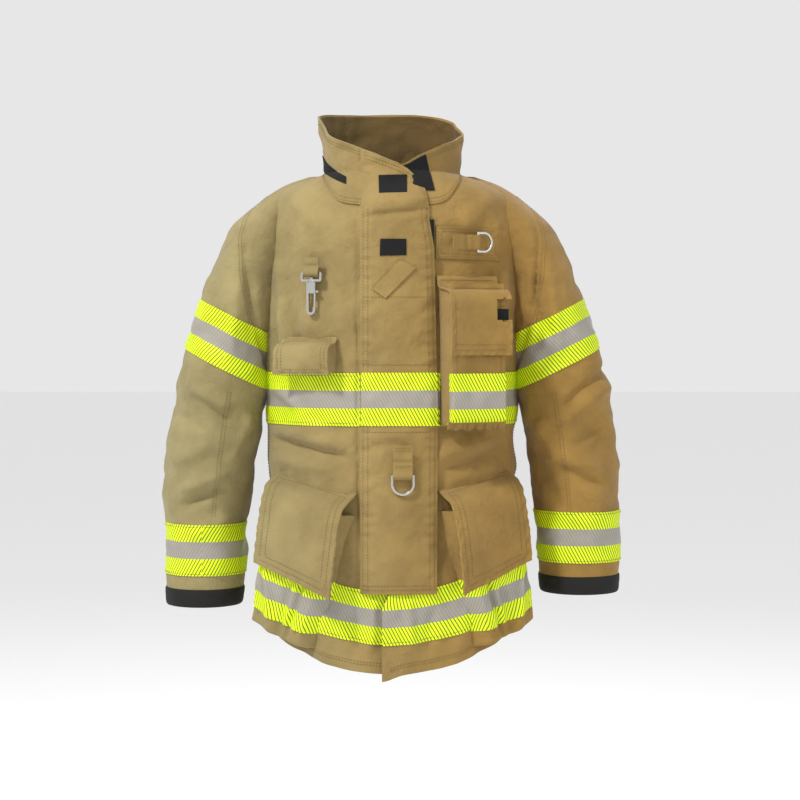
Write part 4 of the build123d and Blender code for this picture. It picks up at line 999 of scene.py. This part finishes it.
def strap(name, mount, width, length, body, node, drop_below=6.0, out=3.0):
    """Webbing folded round a ring's bar: a flat strip that widens over the bar and tucks under."""
    u, v = np.meshgrid(np.linspace(-0.5, 0.5, 16), np.linspace(0, 1, 46))
    d = -length + v * (length + drop_below)
    bulge = 2.6 * np.exp(-(d / 5.5) ** 2)
    tuck = np.clip((d - 2) / 4, 0, 1) ** 2
    o = out + bulge - tuck * 5 - 1.6 * np.exp(-((d + length * 0.45) / 3) ** 2)
    o = o - 0.5 * (2 * np.abs(u)) ** 4
    return sew(name, mount.at(u * width, d, o), 2.4, body, facing=tuple(mount.out), replaces=(node,))


def plane_mount(x, h, out, degrees, turned=False):
    base = front_mount(x, h, degrees)
    spot = Mount(base.origin + base.out * out, base.across, base.out)
    if turned:
        across = np.array([0, 0, 1.0])
        turned_spot = Mount(spot.origin, across, spot.out)
        turned_spot.up = -base.across
        return turned_spot
    return spot


ring_at = plane_mount(16, 314, 16, 0)
strap("centre_ring_webbing", ring_at, 28, 44, "storm_flap", "ring_strap")
rows = [ring_at.at(np.linspace(-12, 12, 12), d, 4.2) for d in (-40, -36, -14)]
stitch("centre_ring_webbing_stitching", rows, "storm_flap")

# microphone panel: a double patch of canvas with the small ring's strap across it
u, v = np.meshgrid(np.linspace(64, 157, 50), np.linspace(625, 671, 30))
sew("microphone_panel", front_surface(u, v - (u - 64) * 0.03, 2.6), 2.0, "coat", replaces=("mic_panel",))
edge = []
for inset in (3, 7):
    xs = np.linspace(64 + inset, 157 - inset, 40)
    hs = np.linspace(625 + inset, 671 - inset, 24)
    edge += [front_surface(xs, h0 - (xs - 64) * 0.03, 3.1) for h0 in (625 + inset, 671 - inset)]
    edge += [front_surface(x0 + 0 * hs, hs - (x0 - 64) * 0.03, 3.1) for x0 in (64 + inset, 157 - inset)]
stitch("microphone_panel_stitching", edge, "coat")
mic_at = plane_mount(118, 648, 12, 30, turned=True)
strap("microphone_webbing", mic_at, 21, 42, "coat", "mic_strap", out=2.4)

hook_at = plane_mount(-110, 604, 13, -24)
strap("snap_webbing", hook_at, 24, 22, "coat", "hook_strap", out=2.6)

# --- Zip, liner and wristlets ---------------------------------------------------------------------
# Brass zip on woven tape, the quilted thermal liner inside the body, and knit wristlets in the cuffs.
brass, shader = new_finish("worn_brass")
place = put(brass, "ShaderNodeTexCoord")
tarnish = put(brass, "ShaderNodeTexNoise", {"Vector": place.outputs["Object"], "Scale": 180.0, "Detail": 4.0})
tone = put(brass, "ShaderNodeMix", {
    0: tarnish.outputs[0], 6: paint("#B99A55"), 7: paint("#6E5A2E")}, data_type="RGBA")
parts = put(brass, "ShaderNodeSeparateXYZ", {0: place.outputs["Object"]})
teeth = put(brass, "ShaderNodeMath", {0: parts.outputs["Z"], 1: 1 / 0.0028}, operation="MULTIPLY")
tooth = put(brass, "ShaderNodeMath", {0: teeth.outputs[0], 1: 1.0}, operation="PINGPONG")
bump = put(brass, "ShaderNodeBump", {"Height": tooth.outputs[0], "Strength": 0.8, "Distance": 0.001})
brass.node_tree.links.new(tone.outputs[2], shader.inputs["Base Color"])
brass.node_tree.links.new(bump.outputs[0], shader.inputs["Normal"])
shader.inputs["Metallic"].default_value = 1.0
shader.inputs["Roughness"].default_value = 0.38
refinish(("zip_teeth", "zip_slider", "zip_pull"), brass)


def woven(name, light, dark, pitch):
    """Plain woven or knitted cloth with ribs at a pitch in metres, running up the piece."""
    finish, shader = new_finish(name)
    place = put(finish, "ShaderNodeTexCoord")
    rib = put(finish, "ShaderNodeTexWave", {
        "Vector": place.outputs["Object"], "Scale": 2 * math.pi / (20 * pitch), "Distortion": 0.4})
    tone = put(finish, "ShaderNodeMix", {
        0: rib.outputs["Fac"], 6: paint(dark), 7: paint(light)}, data_type="RGBA")
    bump = put(finish, "ShaderNodeBump", {"Height": rib.outputs["Fac"], "Strength": 0.6, "Distance": 0.001})
    finish.node_tree.links.new(tone.outputs[2], shader.inputs["Base Color"])
    finish.node_tree.links.new(bump.outputs[0], shader.inputs["Normal"])
    shader.inputs["Roughness"].default_value = 0.9
    return finish


zip_tape = woven("woven_zip_tape", "#2A2723", "#141210", 0.0015)
knit = woven("rib_knit", "#4A4332", "#262117", 0.004)
refinish(("zip_tapes", "hanger_loop"), zip_tape)
refinish(("flap_hook_tape",), loop)
# the loop strip that the storm flap closes on lies on the left front
low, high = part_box("flap_loop_tape")
u, v = np.meshgrid(np.linspace(low[0] / mm, high[0] / mm, 8), np.linspace(low[2] / mm, high[2] / mm, 160))
sew("storm_flap_loop_strip", front_surface(u, v + neck_height, 1.3), 1.1, "coat", finish=loop,
    facing=(0, -1, 0), replaces=("flap_loop_tape",))
refinish(("right_wristlet", "left_wristlet"), knit)

# liner: quilted in diamonds about 60 mm across
liner_cloth = woven("quilted_liner", "#5B4C2C", "#3B311C", 0.003)
turn = np.linspace(0.16, 2 * math.pi - 0.16, 240)[None, :]
low = hem_height(190 * np.sin(turn)) + 24
h = low + np.linspace(0, 1, 150)[:, None] * (735 - low)
arc = turn * 170
quilt = np.abs(np.sin((arc + h) * math.pi / 60)) * np.abs(np.sin((arc - h) * math.pi / 60))
grid = body_surface(turn, h, -7.5 + 2.2 * np.sqrt(quilt))
centre = (grid[1:, 1:] + grid[:-1, :-1]) / 2
sew("thermal_liner", grid, 2.0, "coat", finish=liner_cloth, drop=in_sleeve(centre, 2),
    replaces=("body_liner",))

# --- Studio ---------------------------------------------------------------------------------------
# White sweep below the hanging coat, soft light from above and both sides, and a long lens.
paper, shader = new_finish("white_paper")
place = put(paper, "ShaderNodeTexCoord")
grain = put(paper, "ShaderNodeTexNoise", {"Vector": place.outputs["Object"], "Scale": 60.0})
tone = put(paper, "ShaderNodeMix", {
    0: grain.outputs[0], 6: paint("#FAFAFA"), 7: paint("#F6F6F6")}, data_type="RGBA")
paper.node_tree.links.new(tone.outputs[2], shader.inputs["Base Color"])
shader.inputs["Roughness"].default_value = 0.9
bpy.ops.object.select_all(action="DESELECT")
bpy.ops.mesh.primitive_plane_add(size=60, location=(0, 0, -1.25))
floor = bpy.context.object
floor.name = "studio_floor"
bpy.ops.object.transform_apply(location=True)
floor.data.materials.append(paper)

world = bpy.context.scene.world or bpy.data.worlds.new("studio_air")
bpy.context.scene.world = world
world.use_nodes = True
world.node_tree.nodes["Background"].inputs["Color"].default_value = (1, 1, 1, 1)
world.node_tree.nodes["Background"].inputs["Strength"].default_value = 0.80
for name, spot, size, power in (
    ("key_light", (-1.5, -1.6, 1.9), 0.4, 72), ("side_light", (2.1, -1.8, 0.5), 0.8, 9),
    ("rear_light", (0.4, 2.4, 1.6), 1.6, 20),
):
    light = bpy.data.objects.new(name, bpy.data.lights.new(name, "AREA"))
    bpy.context.scene.collection.objects.link(light)
    light.data.size = size
    light.data.energy = power
    light.location = spot
    light.rotation_euler = (Vector((0, 0, -0.35)) - Vector(spot)).to_track_quat("-Z", "Y").to_euler()

camera = bpy.data.objects.new("camera", bpy.data.cameras.new("camera"))
bpy.context.scene.collection.objects.link(camera)
camera.data.lens = 90.0
aim = Vector((0.012, 0, 417 * mm - neck_height * mm))
eye_rise = math.radians(2.0)
camera.location = aim + Vector((0, -3.0 * math.cos(eye_rise), 3.0 * math.sin(eye_rise)))
camera.rotation_euler = (aim - camera.location).to_track_quat("-Z", "Y").to_euler()
bpy.context.scene.camera = camera
bpy.context.scene.view_settings.view_transform = "Standard"
